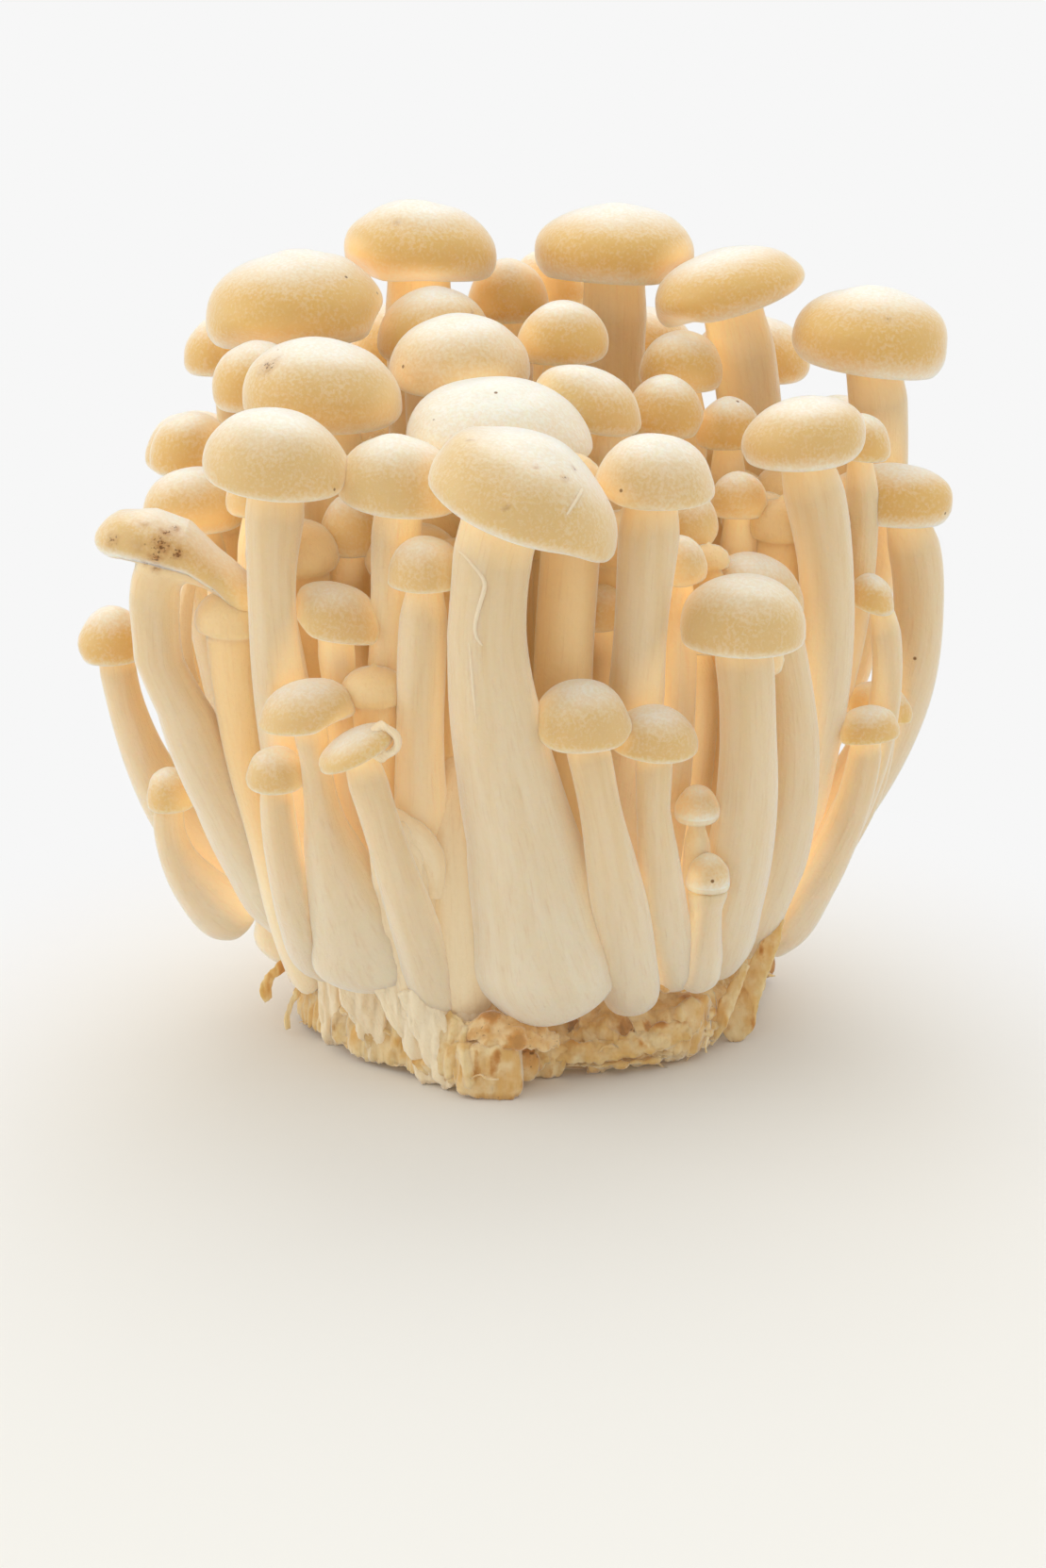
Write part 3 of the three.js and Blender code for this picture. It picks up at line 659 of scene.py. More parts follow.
def hullOfStems():
    # how far out the stems stand, by direction and height
    corners = np.concatenate([ringsOf(name)[1:-2 - capRingCount[ringsOf(name).shape[1]]].reshape(-1, 3)
                              for name in mushroomNodes])
    turns, heights = np.linspace(-math.pi, math.pi, 37), np.arange(0, 0.1, 0.008)
    reach = np.zeros((len(turns), len(heights)))
    turn = np.arctan2(corners[:, 1], corners[:, 0])
    far = np.hypot(corners[:, 0], corners[:, 1])
    for a, at in enumerate(turns):
        apart = np.abs((turn - at + math.pi) % (2 * math.pi) - math.pi)
        for h, height in enumerate(heights):
            near = (apart < 0.2) & (np.abs(corners[:, 2] - height) < 0.009)
            reach[a, h] = far[near].max() if near.any() else 0.02
    return turns, heights, reach


hullTurns, hullHeights, hullReach = hullOfStems()


def insideHull(point):
    # how far inside the outermost stems a point lies
    turn = math.atan2(point[1], point[0])
    at = (turn - hullTurns[0]) / (hullTurns[1] - hullTurns[0])
    low = min(int(at), len(hullTurns) - 2)
    column = hullReach[low] * (1 - at + low) + hullReach[low + 1] * (at - low)
    return np.interp(point[2], hullHeights, column) - math.hypot(point[0], point[1])


def roomAt(point, taken):
    # how thick a stem could stand here, negative inside another
    place, normal, _, distance = bunchTree.find_nearest(point)
    room = distance if (point - place).dot(normal) > 0 else -distance
    for centres, radii in taken:
        room = min(room, (np.linalg.norm(centres - np.array(point), axis=1) - radii).min())
    return min(room, insideHull(point) - innerLook["inside"])


def roomiest(point, taken, step=0.9 * mm, tries=5):
    best = roomAt(point, taken)
    for _ in range(tries):
        turns = np.arange(6) * math.pi / 3
        around = [point + Vector((step * math.cos(a), step * math.sin(a), 0)) for a in turns]
        rooms = [roomAt(p, taken) for p in around]
        if max(rooms) <= best:
            step *= 0.5
            if step < 0.4 * mm:
                break
            continue
        best, point = max(rooms), around[rooms.index(max(rooms))]
    return point, best


def climb(x, y, z, taken):
    # the middles and radii of a stem that keeps to the open room, upwards and downwards from its start
    look, halves = innerLook, []
    for direction in (1, -1):
        point, found = Vector((x, y, z)), []
        while look["lowest"] < point.z < look["highest"]:
            point, room = roomiest(point, taken)
            if room < look["thinnest"]:
                break
            found.append((*point, min(room - look["gap"], look["thickest"])))
            spread = look["spread"] * direction
            point = point + Vector((point.x * spread, point.y * spread, direction * look["levelStep"]))
        halves.append(found)
    path = np.array(halves[1][::-1] + halves[0][1:])
    return path if len(path) > 4 else None


def fillInside():
    look, taken, stems = innerLook, [], []
    for radius, points in placedStems:
        path = smoothPath(np.array(points) * mm, 6 * len(points))
        path = np.hstack([path, np.full((len(path), 1), radius * mm)])
        taken.append((path[:, :3], path[:, 3] + innerLook["clear"]))
        stems.append(path)
    ticks = np.arange(-40 * mm, 41 * mm, look["grid"])
    for height in look["startHeights"]:
        starts = [(roomAt(Vector((x, y, height)), taken), x, y) for x in ticks for y in ticks]
        for _, x, y in sorted((s for s in starts if s[0] > look["thinnest"]), reverse=True):
            if roomAt(Vector((x, y, height)), taken) < look["thinnest"]:
                continue
            path = climb(x, y, height, taken)
            if path is None:
                continue
            path[1:-1] = (path[:-2] + path[1:-1] + path[2:]) / 3       # no sudden bends
            path = smoothPath(path, 4 * len(path))
            taken.append((path[:, :3], path[:, 3]))
            stems.append(path)
    return stems


def stemRings(path, sides=12):
    turns = np.arange(sides) * 2 * math.pi / sides
    circle = np.stack([np.cos(turns), np.sin(turns), np.zeros(sides)], axis=1)
    rings = [np.repeat(path[:1, :3] - [0, 0, path[0, 3]], sides, axis=0)]
    rings += [row[:3] + circle * row[3] for row in path]
    rings.append(np.repeat(path[-1:, :3] + [0, 0, path[-1, 3]], sides, axis=0))
    return np.array(rings)


def withYoungCap(path):
    # a small closed cap on the last ring of a fill stem: shares of the cap's radius, outwards and upwards
    x, y, z, neck = path[-1]
    wide = neck + min(innerLook["capReach"][0] * neck, innerLook["capReach"][1])
    cap = [(x, y, z + rise * wide, out * wide) for out, rise in innerLook["capShares"]]
    return np.vstack([path, cap])


def joined(name, pieces):
    # several pieces as one, with their attributes and materials
    bpy.ops.object.select_all(action="DESELECT")
    for piece in pieces:
        piece.select_set(True)
    bpy.context.view_layer.objects.active = pieces[0]
    bpy.ops.object.join()
    pieces[0].name = pieces[0].data.name = name
    return pieces[0]


inner = []
for i, path in enumerate(fillInside()):
    placed = i < len(placedStems)
    rings = stemRings(path if placed else withYoungCap(path))
    rows, _ = smoothSkin(rings, innerLook["around"], innerLook["step"], 1)
    shape, heights = rows.shape[:2], rows[..., 2]
    # the painted glow and warm tint fade on stems on the far side, which stand in daylight, and on the young
    # caps
    glowKept = 1 - innerLook["rearShade"] * smooth((rows[..., 1] - 10 * mm) / (18 * mm))
    glowKept = glowKept * (1 if placed else 1 - 0.4 * smooth((heights - path[-1, 2]) / (1 * mm)))
    look = innerLook["placed" if placed else "found"]
    fields = {"grain": grainOf(rows), "crowding": look["glow"] * glowKept,
              "warmth": np.full(shape, innerLook["warmth"]),
              "inmost": smooth((heights - 22 * mm) / (26 * mm)) * look["inmost"] * glowKept,
              "paleness": smooth(1 - (heights - 10 * mm) / (45 * mm)), "stain": np.zeros(shape)}
    inner.append(meshFromRows(f"inner{i}", rows, fields, (stemFlesh,)))
print("inner stems:", len(inner))
innerPiece = joined("innerStems", inner)
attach(innerPiece, "root")


rootLook = {
    "cream": "#F3D6A4", "buff": "#E4B873", "honey": "#C07E30", "dark": "#6E4218", "patch": "#E2AC55",
    "thread": "#B98A50", "stain": "#C17C22", "crumb": "#6E4013",
    "around": 560, "step": 0.42 * mm,
    "pleats": 2.4 * mm, "pleatWidth": 7 * mm, "pleatHeight": 45 * mm,     # upright folds left by the tear
    "rags": 0.8 * mm, "ragWidth": 2.6 * mm, "ragHeight": 14 * mm,
    "crumple": 0.12 * mm, "crumpleWidth": 0.8 * mm,
    "rise": 5.0 * mm, "riseEdge": 27 * mm,      # how far the middle swells up between the stem bases
    # places and radii of the stained patches, in millimetres
    "stains": [(1, -36, 8, 4.5), (7, -36, 8, 3.5), (-22, -28, 8, 3), (16, -30, 6, 3.0), (24, -24, 5, 2.5)],
    # the turn of each curtain's middle, half its span, and its lowest and highest edge
    "curtains": [(-2.75, 0.45, 0.6, 14), (-2.2, 0.42, 0.5, 13), (2.9, 0.4, 0.6, 12), (2.1, 0.5, 0.8, 13),
                 (1.2, 0.45, 0.5, 12), (0.35, 0.45, 0.8, 13), (-0.3, 0.3, 0.8, 11)],
    "shelves": 16, "flaps": 30, "flapHeight": 14 * mm, "flapWidth": 6.5 * mm, "flapThickness": 1.3 * mm,
    "shreds": 110, "shredLength": 4.5 * mm, "fibres": 70, "fibreLengths": (1.2 * mm, 3.5 * mm),
}


def tornMycelium():
    # matted white threads torn by hand: dry cream ridges, honey to dark brown deep in the folds, partly
    # substrate stain and partly painted shade
    material, tree = newMaterial("tornMycelium")
    place = addNode(tree, "ShaderNodeTexCoord", output="Object")
    drawn = addNode(tree, "ShaderNodeMapping", {"Vector": place, "Scale": (1500, 1500, 260)})
    threads, lumps, clouds = [addNode(tree, "ShaderNodeTexNoise", {
        "Vector": vector, "Scale": scale, "Detail": detail, "Roughness": roughness})
        for vector, scale, detail, roughness in (
            (drawn, 1.0, 4.0, 0.6), (place, 1 / (3.0 * mm), 3.0, 0.55), (place, 1 / (6 * mm), 2.0, 0.5))]
    # deeper in the folds the colour goes to honey and dark brown: partly substrate stain, partly painted
    # shade
    hollowShade = unevenField(tree, "depth", (lumps, 0.3, 0.7, -0.15, 0.15))
    colour = linearColour(rootLook["cream"])
    for limits, over in (
            ((lumps, 0.35, 0.65), "buff"), ((hollowShade, 0.38, 0.72), "honey"),
            ((hollowShade, 0.62, 0.9, 0.0, 0.85), "dark"), ((clouds, 0.52, 0.64, 0.0, 0.35), "patch"),
            ((threads, 0.55, 0.8, 0.0, 0.25), "thread")):
        share = addNode(tree, "ShaderNodeMapRange", limits, interpolation_type="SMOOTHSTEP")
        colour = addNode(tree, "ShaderNodeMix", {0: share, 6: colour, 7: linearColour(rootLook[over])}, 2,
                         data_type="RGBA")
    colour = stained(tree, place, colour, (lumps, 0.3, 0.6, 0.5, 1.0), 0.7 * mm,
                     (rootLook["stain"], rootLook["crumb"]), (0.3, 0.72, 0.84, 0.8))
    raised = addNode(tree, "ShaderNodeMath", (lumps, 1.5), operation="MULTIPLY")
    height = addNode(tree, "ShaderNodeMath", (threads, raised), operation="ADD")
    finishFlesh(material, tree, colour, height, 0.2 * mm, 0.85, 0.25)
    return material


mycelium = tornMycelium()


def torn(point, wide, tall, octaves=4):
    # sharp ridges and soft hollows, drawn out upwards, about -1 to 1
    place = Vector((point[0] / wide, point[1] / wide, point[2] / tall))
    return noise.ridged_multi_fractal(place, 0.9, 2.1, octaves, 1.0, 2.0) - 1.0


def growRoot():
    look = rootLook
    rows, _ = smoothSkin(ringsOf(rootNode), look["around"], look["step"])
    normals = outwards(rows)
    flat, shape = rows.reshape(-1, 3), rows.shape[:2]
    pleats = np.array([torn(p, look["pleatWidth"], look["pleatHeight"], 3) for p in flat]).reshape(shape)
    rags = np.array([torn(p + 0.5, look["ragWidth"], look["ragHeight"], 4) for p in flat]).reshape(shape)
    crumple = np.array([noise.noise(Vector(p) / look["crumpleWidth"]) for p in flat]).reshape(shape)
    reach = np.linalg.norm(rows[..., :2], axis=2)
    under = 1 - smooth((-normals[..., 2] - 0.35) / 0.4)
    bulge = (look["pleats"] * np.clip(pleats, -1, 1) + look["rags"] * np.clip(rags, -1, 1)
             + look["crumple"] * crumple) * under
    rows = rows + normals * bulge[..., None]
    swell = smooth((look["riseEdge"] - reach) / (8 * mm)) * smooth(normals[..., 2] / 0.5)
    rows[..., 2] += look["rise"] * swell
    rows[..., 2] = np.maximum(rows[..., 2], 0)
    rows[0], rows[-1] = rows[0].mean(axis=0), rows[-1].mean(axis=0)
    # how deep in a fold each point lies: there it is painted darker, partly as shade, and glows with painted
    # light
    depth = np.clip(0.45 - 0.35 * pleats - 0.3 * rags, 0, 1)
    # the edge just above the table is darker
    low = 1 - smooth(rows[..., 2] / (1.6 * mm))
    stain = 0.35 * low * (0.5 + 0.5 * np.clip(rags, 0, 1))
    for x, y, z, radius in look["stains"]:
        stain = np.maximum(stain, np.exp(-(np.linalg.norm(rows / mm - (x, y, z), axis=2) / radius) ** 2))
    wall = under * smooth((0.75 - normals[..., 2]) / 0.3) * (rows[..., 2] > 0.4 * mm)
    fields = {"depth": depth, "stain": stain, "wall": wall, "crowding": 0.55 * depth,
              "paleness": np.full(shape, 0.2)}
    return meshFromRows("rootMass", rows, fields, (mycelium,))


rootPiece = growRoot()
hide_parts(rootNode)
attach(rootPiece, "root")
print("root mass torn")


def bandRings(path, wide, thick, sides=8, twist=0.0, across=None, square=0.0):
    # rings of a flat band along a path, with its width and thickness at each point; square is 0 where round
    path = np.asarray(path, float)
    along = np.gradient(path, axis=0)
    along /= np.linalg.norm(along, axis=1, keepdims=True)
    side = np.cross(along, across if across is not None else (0.0, -1.0, 0.2))
    side /= np.maximum(np.linalg.norm(side, axis=1, keepdims=True), 1e-9)
    front = np.cross(side, along)
    turns = np.arange(sides) * 2 * math.pi / sides
    corner = (np.abs(np.cos(turns)) ** 5 + np.abs(np.sin(turns)) ** 5) ** (-square / 5)
    turned = twist * np.linspace(0, 1, len(path))
    rings = [np.repeat(path[:1], sides, axis=0)]
    for p, s, f, w, t, a in zip(path, side, front, wide, thick, turned):
        s, f = s * math.cos(a) + f * math.sin(a), f * math.cos(a) - s * math.sin(a)
        rings.append(p + np.outer(corner * np.cos(turns) * w / 2, s)
                     + np.outer(corner * np.sin(turns) * t / 2, f))
    rings.append(np.repeat(path[-1:], sides, axis=0))
    return np.array(rings)


def bandPiece(name, rings, around, step, material, fields=None, roughen=0.0, roughSize=(2.2 * mm, 9 * mm)):
    rows, places = smoothSkin(rings, around, step, 1)
    if roughen:
        bulge = np.array([torn(p, *roughSize, 3) for p in rows.reshape(-1, 3)]).reshape(rows.shape[:2])
        edge = np.minimum(places, places[-1] - places)[:, None]
        rows = rows + outwards(rows) * (roughen * np.clip(bulge, -1, 1) * smooth(edge))[..., None]
        rows[0], rows[-1] = rows[0].mean(axis=0), rows[-1].mean(axis=0)
    rows[..., 2] = np.maximum(rows[..., 2], 0.02 * mm)
    shape = rows.shape[:2]
    whole = {"depth": np.full(shape, 0.4), "stain": np.zeros(shape), "crowding": np.full(shape, 0.3),
             "paleness": np.full(shape, 0.3), "warmth": np.full(shape, 0.3), "grain": grainOf(rows)}
    whole.update({label: np.full(shape, value) for label, value in (fields or {}).items()})
    if roughen:    # hollows are painted darker, as shade, and the edge just above the table is darker too
        whole["depth"] = np.clip(whole["depth"] - 0.42 * np.clip(bulge, -1, 1), 0, 1)
        whole["stain"] = np.maximum(whole["stain"], 0.5 * (1 - smooth(rows[..., 2] / (1.4 * mm))))
    return meshFromRows(name, rows, whole, (material,))


rootTree = BVHTree.FromPolygons(*[part.tolist() for part in mergedMesh(rootNode)])


def castIn(tree, turn, height, start=0.08):
    # how far out a shape stands at a height, seen from a direction
    out = Vector((math.cos(turn), math.sin(turn), 0))
    hit = tree.ray_cast(out * start + Vector((0, 0, height)), -out)[0]
    return math.hypot(hit.x, hit.y) if hit else 0.0


def flapPath(turn, height, rng):
    # from the table up the torn wall and on into the gap between the stem bases
    heights = np.array([0.03, 0.2, 0.42, 0.66, 0.86, 1.0]) * height
    radii = []
    for z in heights:
        wall = castIn(rootTree, turn, min(z + 0.4 * mm, 8 * mm))
        stems = castIn(bunchTree, turn, z) if z > 8 * mm else wall
        radii.append(np.clip(stems, wall - 4 * mm, wall + 2.5 * mm) + rng.uniform(-0.3, 0.5) * mm)
    turns = turn + np.cumsum(rng.uniform(-0.02, 0.02, 6))
    return np.stack([radii * np.cos(turns), radii * np.sin(turns), heights], axis=1)


def growFlaps():
    look, rng, pieces = rootLook, np.random.default_rng(31), []
    for i in range(look["flaps"]):
        turn = 2 * math.pi * (i + rng.uniform(-0.3, 0.3)) / look["flaps"]
        path = flapPath(turn, look["flapHeight"] * rng.uniform(0.7, 1.25), rng)
        grow = np.array([0.75, 1.0, 1.05, 0.9, 0.65, 0.3]) * rng.uniform(0.8, 1.2, 6)
        wide = look["flapWidth"] * rng.uniform(0.6, 1.2) * grow
        thick = look["flapThickness"] * rng.uniform(0.7, 1.3) * grow
        rings = bandRings(path, wide, thick, 12, rng.uniform(-0.5, 0.5),
                          (math.cos(turn), math.sin(turn), 0.2))
        fields = {"depth": rng.uniform(0.15, 0.5), "paleness": rng.uniform(0.2, 0.7), "crowding": 0.25}
        pieces.append(bandPiece(f"flap{i}", rings, 48, 0.45 * mm, mycelium, fields, 0.5 * mm,
                                (1.8 * mm, 16 * mm)))
    return joined("rootFlaps", pieces)


flapPiece = growFlaps()
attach(flapPiece, "root")
print("flaps grown")


def along(anchor, offsets):
    # a path given in millimetres from a place of the frame
    return np.array(anchor) + np.array(offsets) * mm


def footOf(nodeName):
    return ringsOf(nodeName)[0, 0]


def capMiddle(nodeName):
    rings = ringsOf(nodeName)
    return capParts(rings, np.arange(len(rings)), len(rings) - 2 - capRingCount[rings.shape[1]])[0]


# Flesh that grew between the mushrooms and down over the root mass: the host mushroom, a path in millimetres
# from its foot, widths and thicknesses along it in millimetres, and how torn its surface is
extraFlesh = {
    "curledBody": ("left_curled", [(-8.4, -13.6, 33), (-6.6, -11.8, 27), (-5.4, -8.9, 20), (-4.5, -6.6, 13),
                                   (-3.4, -5.4, 6), (-2.0, -5.4, -1), (-1.2, -5.6, -6), (-1.0, -5.6, -7.6)],
                   [4.5, 7.0, 8.2, 8.2, 8.0, 7.6, 7.4, 6.5], [4, 5, 5.4, 5.6, 5.4, 5.2, 4.6, 3.5], 0.5),
    "shoulderLump": ("left_curled", [(-9.6, -11.6, 34.5), (-6.6, -11.0, 31.5), (-3.2, -10.4, 29),
                                     (-1.6, -9.8, 25.5), (-1.8, -9.0, 20)],
                     [3.0, 4.2, 4.4, 3.8, 2.5], [3, 4, 4.2, 3.8, 2.5], 0.15),
    "giantsNeighbour": ("front_tall", [(-2.2, -7.2, 36), (-2.6, -9.0, 29), (-2.8, -10.4, 20),
                                       (-2.6, -10.8, 11), (-2.0, -9.6, 3), (-1.2, -8.0, -2)],
                        [4.0, 6.5, 9.0, 10.2, 9.6, 6.5], [4.5, 6.5, 8, 8.4, 7.6, 5], 0.1),
    "paleFold1": ("left_club", [(-4.5, -5.0, 6), (-2.6, -3.0, -2), (-0.4, -1.6, -8), (1.6, -1.4, -13.2)],
                  [4.0, 6.0, 5.6, 4.0], [2.0, 2.2, 2.2, 1.8], 0.7),
    "paleFold2": ("left_club", [(1.0, -7.0, 6), (3.8, -7.4, -2), (7.0, -8.2, -8), (9.8, -8.8, -13)],
                  [4.5, 6.4, 5.6, 3.6], [2.0, 2.4, 2.2, 1.8], 0.7),
    "paleFold3": ("left_curled", [(-5.6, -7.4, 8), (-2.4, -7.6, 1), (-0.4, -8.2, -4), (1.4, -8.6, -7.4)],
                  [4.0, 5.2, 5.0, 4.0], [2.2, 2.4, 2.2, 1.8], 0.6),
    "paleFold4": ("left_stub", [(0.5, -2.5, 4), (0.4, -1.0, -5), (0.6, 0.0, -11), (1.0, 0.4, -15)],
                  [5.0, 6.4, 5.2, 3.8], [2.0, 2.4, 2.4, 1.8], 0.7),
    "paleFold5": ("front_tall", [(-2.6, -9.4, 5), (-2.2, -10.0, -2), (-2.2, -11.4, -7), (-2.4, -12.4, -10)],
                  [6.0, 6.0, 5.4, 4.6], [2.2, 2.4, 2.2, 1.8], 0.6),
    "slenderPin": ("left_upper", [(-16.6, -12.0, 41), (-17.8, -12.4, 44), (-18.2, -12.6, 49),
                                  (-17.6, -12.6, 54), (-16.6, -12.6, 57)],
                   [1.4, 2.1, 2.2, 2.2, 1.6], [1.3, 1.7, 1.8, 1.8, 1.4], 0.0),
}


def growExtra():
    pieces = []
    for name, (host, offsets, wide, thick, roughen) in extraFlesh.items():
        path, count = along(footOf(host), offsets), 3 * len(offsets)
        wide, thick = smoothPath(wide, count) * mm, smoothPath(thick, count) * mm
        rings = bandRings(smoothPath(path, count), wide, thick, 12)
        paleness = 0.85 - 0.5 * np.clip((path[0, 2] - 20 * mm) / (60 * mm), 0, 1)
        fields = {"paleness": paleness, "crowding": 0.35}
        pieces.append(bandPiece(name, rings, 72, 0.4 * mm, thinFlesh, fields, roughen * mm,
                                (1.8 * mm, 16 * mm)))
    return pieces


def rolledRim():
    # the right edge of the curled cap rolls up into an open loop
    turns = np.linspace(-2.5, 3.1, 18)
    middle = along(capMiddle("left_curled"), (3.1, -1.6, 0.9))
    path = middle + np.stack([2.0 * np.cos(turns), 0.3 * turns, 1.7 * np.sin(turns)], axis=1) * mm
    grow = tapered(18, 0.4, 0.5)
    rings = bandRings(path, 2.6 * mm * grow, 1.1 * mm * grow, 10, 0.0, (1.0, 0.0, 0.0))
    return bandPiece("rolledRim", rings, 40, 0.3 * mm, thinFlesh, {"paleness": 0.75, "crowding": 0.35})


def surfacePath(nodeName, piece, points, lift):
    # points of a grown piece's front surface, as places right of and above the mushroom's cap middle
    mesh = piece.data
    corners = np.zeros(len(mesh.vertices) * 3)
    mesh.vertices.foreach_get("co", corners)
    corners = corners.reshape(-1, 3)
    across, up = fromFront(corners)
    midAcross, midUp = fromFront(capMiddle(nodeName))
    path = []
    for right, above in points:
        away = np.hypot(across - midAcross - right * mm, up - midUp - above * mm)
        nearest = (away + (corners[:, 1] + 0.06) * 0.15).argmin()    # the front of the skin, not its back
        path.append(corners[nearest] - np.array([0, lift * mm, 0]))
    return smoothPath(path, 6 * len(path))


# Thin raised lines on the great front mushroom: what is left of its veil, and a crease in its cap
raisedLines = {
    "veilRemnant": ([(-8.3, -6.8), (-7.2, -7.2), (-6.0, -8.6), (-4.4, -10.6), (-5.2, -13.2), (-6.3, -16.4),
                     (-5.8, -18.0), (-5.0, -19.2)], 0.55, 0.3, 0.06),
    "capCrease": ([(7.9, 1.1), (7.2, 0.0), (6.4, -1.4), (5.2, -3.2)], 0.6, 0.3, 0.0),
    "stemFissure": ([(-6.8, -18.0), (-6.6, -22.0), (-6.4, -26.0), (-6.0, -30.0)], 0.4, 0.16, 0.0),
}


def drawRaisedLines(giantPiece):
    pieces = []
    for name, (points, wide, thick, lift) in raisedLines.items():
        path = surfacePath("front_giant", giantPiece, points, lift)
        grow = tapered(len(path), 0.15, 0.6)
        rings = bandRings(path, wide * mm * grow, thick * mm * grow, 8)
        pieces.append(bandPiece(name, rings, 16, 0.25 * mm, thinFlesh, {"paleness": 0.8, "crowding": 0.25}))
    return pieces


# Tiny young mushrooms between the stems: host, foot and cap from its foot, cap width and height, thickness
pins = [
    ("front_low_right", (3.6, -3.0, 6.0), (2.9, -9.6, 28.8), 6.2, 5.0, 4.4),
    ("front_low_right", (3.4, -2.5, -2.0), (4.5, -10.4, 19.2), 6.4, 5.2, 5.6),
]


def pinRings(foot, cap, width, height, thickness, sides=8):
    turns = np.arange(sides) * 2 * math.pi / sides
    circle = np.stack([np.cos(turns), np.sin(turns), np.zeros(sides)], axis=1)
    top = cap - np.array([0, 0, 0.55 * height])
    rings = [np.repeat(foot[None], sides, axis=0)]
    for share, girth in zip((0.08, 0.3, 0.55, 0.8, 1.0), (0.42, 0.55, 0.48, 0.4, 0.38)):
        rings.append(foot + (top - foot) * share + circle * thickness * girth)
    for rise, out in ((0.0, 0.32), (0.04, 0.45), (0.26, 0.5), (0.52, 0.45), (0.76, 0.34), (0.91, 0.2)):
        rings.append(top + np.array([0, 0, rise * height]) + circle * out * width)
    rings.append(np.repeat((top + np.array([0, 0, height]))[None], sides, axis=0))
    return np.array(rings)


def growPins():
    pieces = []
    for i, (host, foot, cap, width, height, thickness) in enumerate(pins):
        foot, cap = along(footOf(host), foot), along(footOf(host), cap)
        rings = pinRings(foot, cap, width * mm, height * mm, thickness * mm)
        pieces.append(growMushroom(f"pin{i}", rings, 200 + i, 40, 0.45 * mm, 0.6, crowdingOf(rings)))
    return pieces


giantPiece = bpy.data.objects["frontGiant"]
extraPiece = joined("smallFlesh", growExtra() + [rolledRim()] + drawRaisedLines(giantPiece) + growPins())
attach(extraPiece, "root")
print("small flesh grown")


# Torn pieces of the root mass, in millimetres: a squared block in front, a stained hollow, a lip beside it
# given by turn, height and how far it stands out, and strips on the left and right with their widths
tornLook = {
    "blockTurn": -1.72, "blockSize": (9.2, 7.2),
    "block": [(-0.2, 0.15), (0.0, 1.2), (0.2, 3.6), (0.1, 6.0), (-0.3, 7.5), (-0.4, 7.9)],
    "hollow": [(-9.5, -37.0, 9.2), (-6.0, -38.2, 9.8), (-2.5, -38.6, 9.4), (1.5, -37.6, 8.2),
               (4.5, -35.5, 7.0)],
    "lip": [(-1.58, 3.4, 0.4), (-1.45, 3.9, 1.0), (-1.3, 3.6, 1.4), (-1.14, 4.2, 1.3), (-1.0, 4.9, 1.1),
            (-0.84, 5.4, 0.9), (-0.66, 6.6, 0.4)],
    "strips": {
        "leftTuft": ([(-29.5, -14, 11.5), (-32.9, -15, 11.3), (-34.7, -15.5, 10.2), (-36.7, -16, 8.6),
                      (-37.6, -16, 6.6), (-36.6, -16, 4.8)], [2.2, 2.0, 1.5, 1.3, 1.9, 1.4]),
        "leftStrand": ([(-28, -14, 8), (-31.5, -15, 7.6), (-33.6, -16, 5.2), (-34.4, -16.5, 2.4),
                        (-34.0, -16.5, 0.6)], [1.6, 1.2, 0.8, 0.8, 0.6]),
        "rightSkin": ([(27.5, -19, 0.8), (30.0, -18.5, 2.6), (30.6, -18, 6.0), (32.4, -17.2, 10.0),
                       (34.4, -16.5, 14.2), (36.0, -15.5, 18)], [4.5, 4.8, 4.2, 3.4, 2.4, 1.2]),
        "rightStrand": ([(24.5, -22.5, 1.0), (27.0, -22.0, 4.4), (29.0, -20.5, 8.4), (31.0, -19.0, 12.5)],
                        [2.8, 2.6, 2.0, 1.0])},
}


def wallPath(turns, heights, beyond, probes=None):
    # places out from the root's wall in millimetres; probes are the heights at which the wall is felt for
    path = []
    for turn, height, out, probe in zip(turns, heights, beyond, heights if probes is None else probes):
        reach = castIn(rootTree, turn, probe * mm) + out * mm
        path.append((reach * math.cos(turn), reach * math.sin(turn), height * mm))
    return path


def tornBand(name, path, wide, thick, sides, twist, across, around, step, fields, roughen, roughSize,
             square=0.0):
    # one torn piece, from a band; roughSize is the width and height of its ridges in millimetres
    rings = bandRings(path, wide, thick, sides, twist, across, square)
    roughSize = [size * mm for size in roughSize]
    return bandPiece(name, rings, around, step * mm, mycelium, fields, roughen * mm, roughSize)


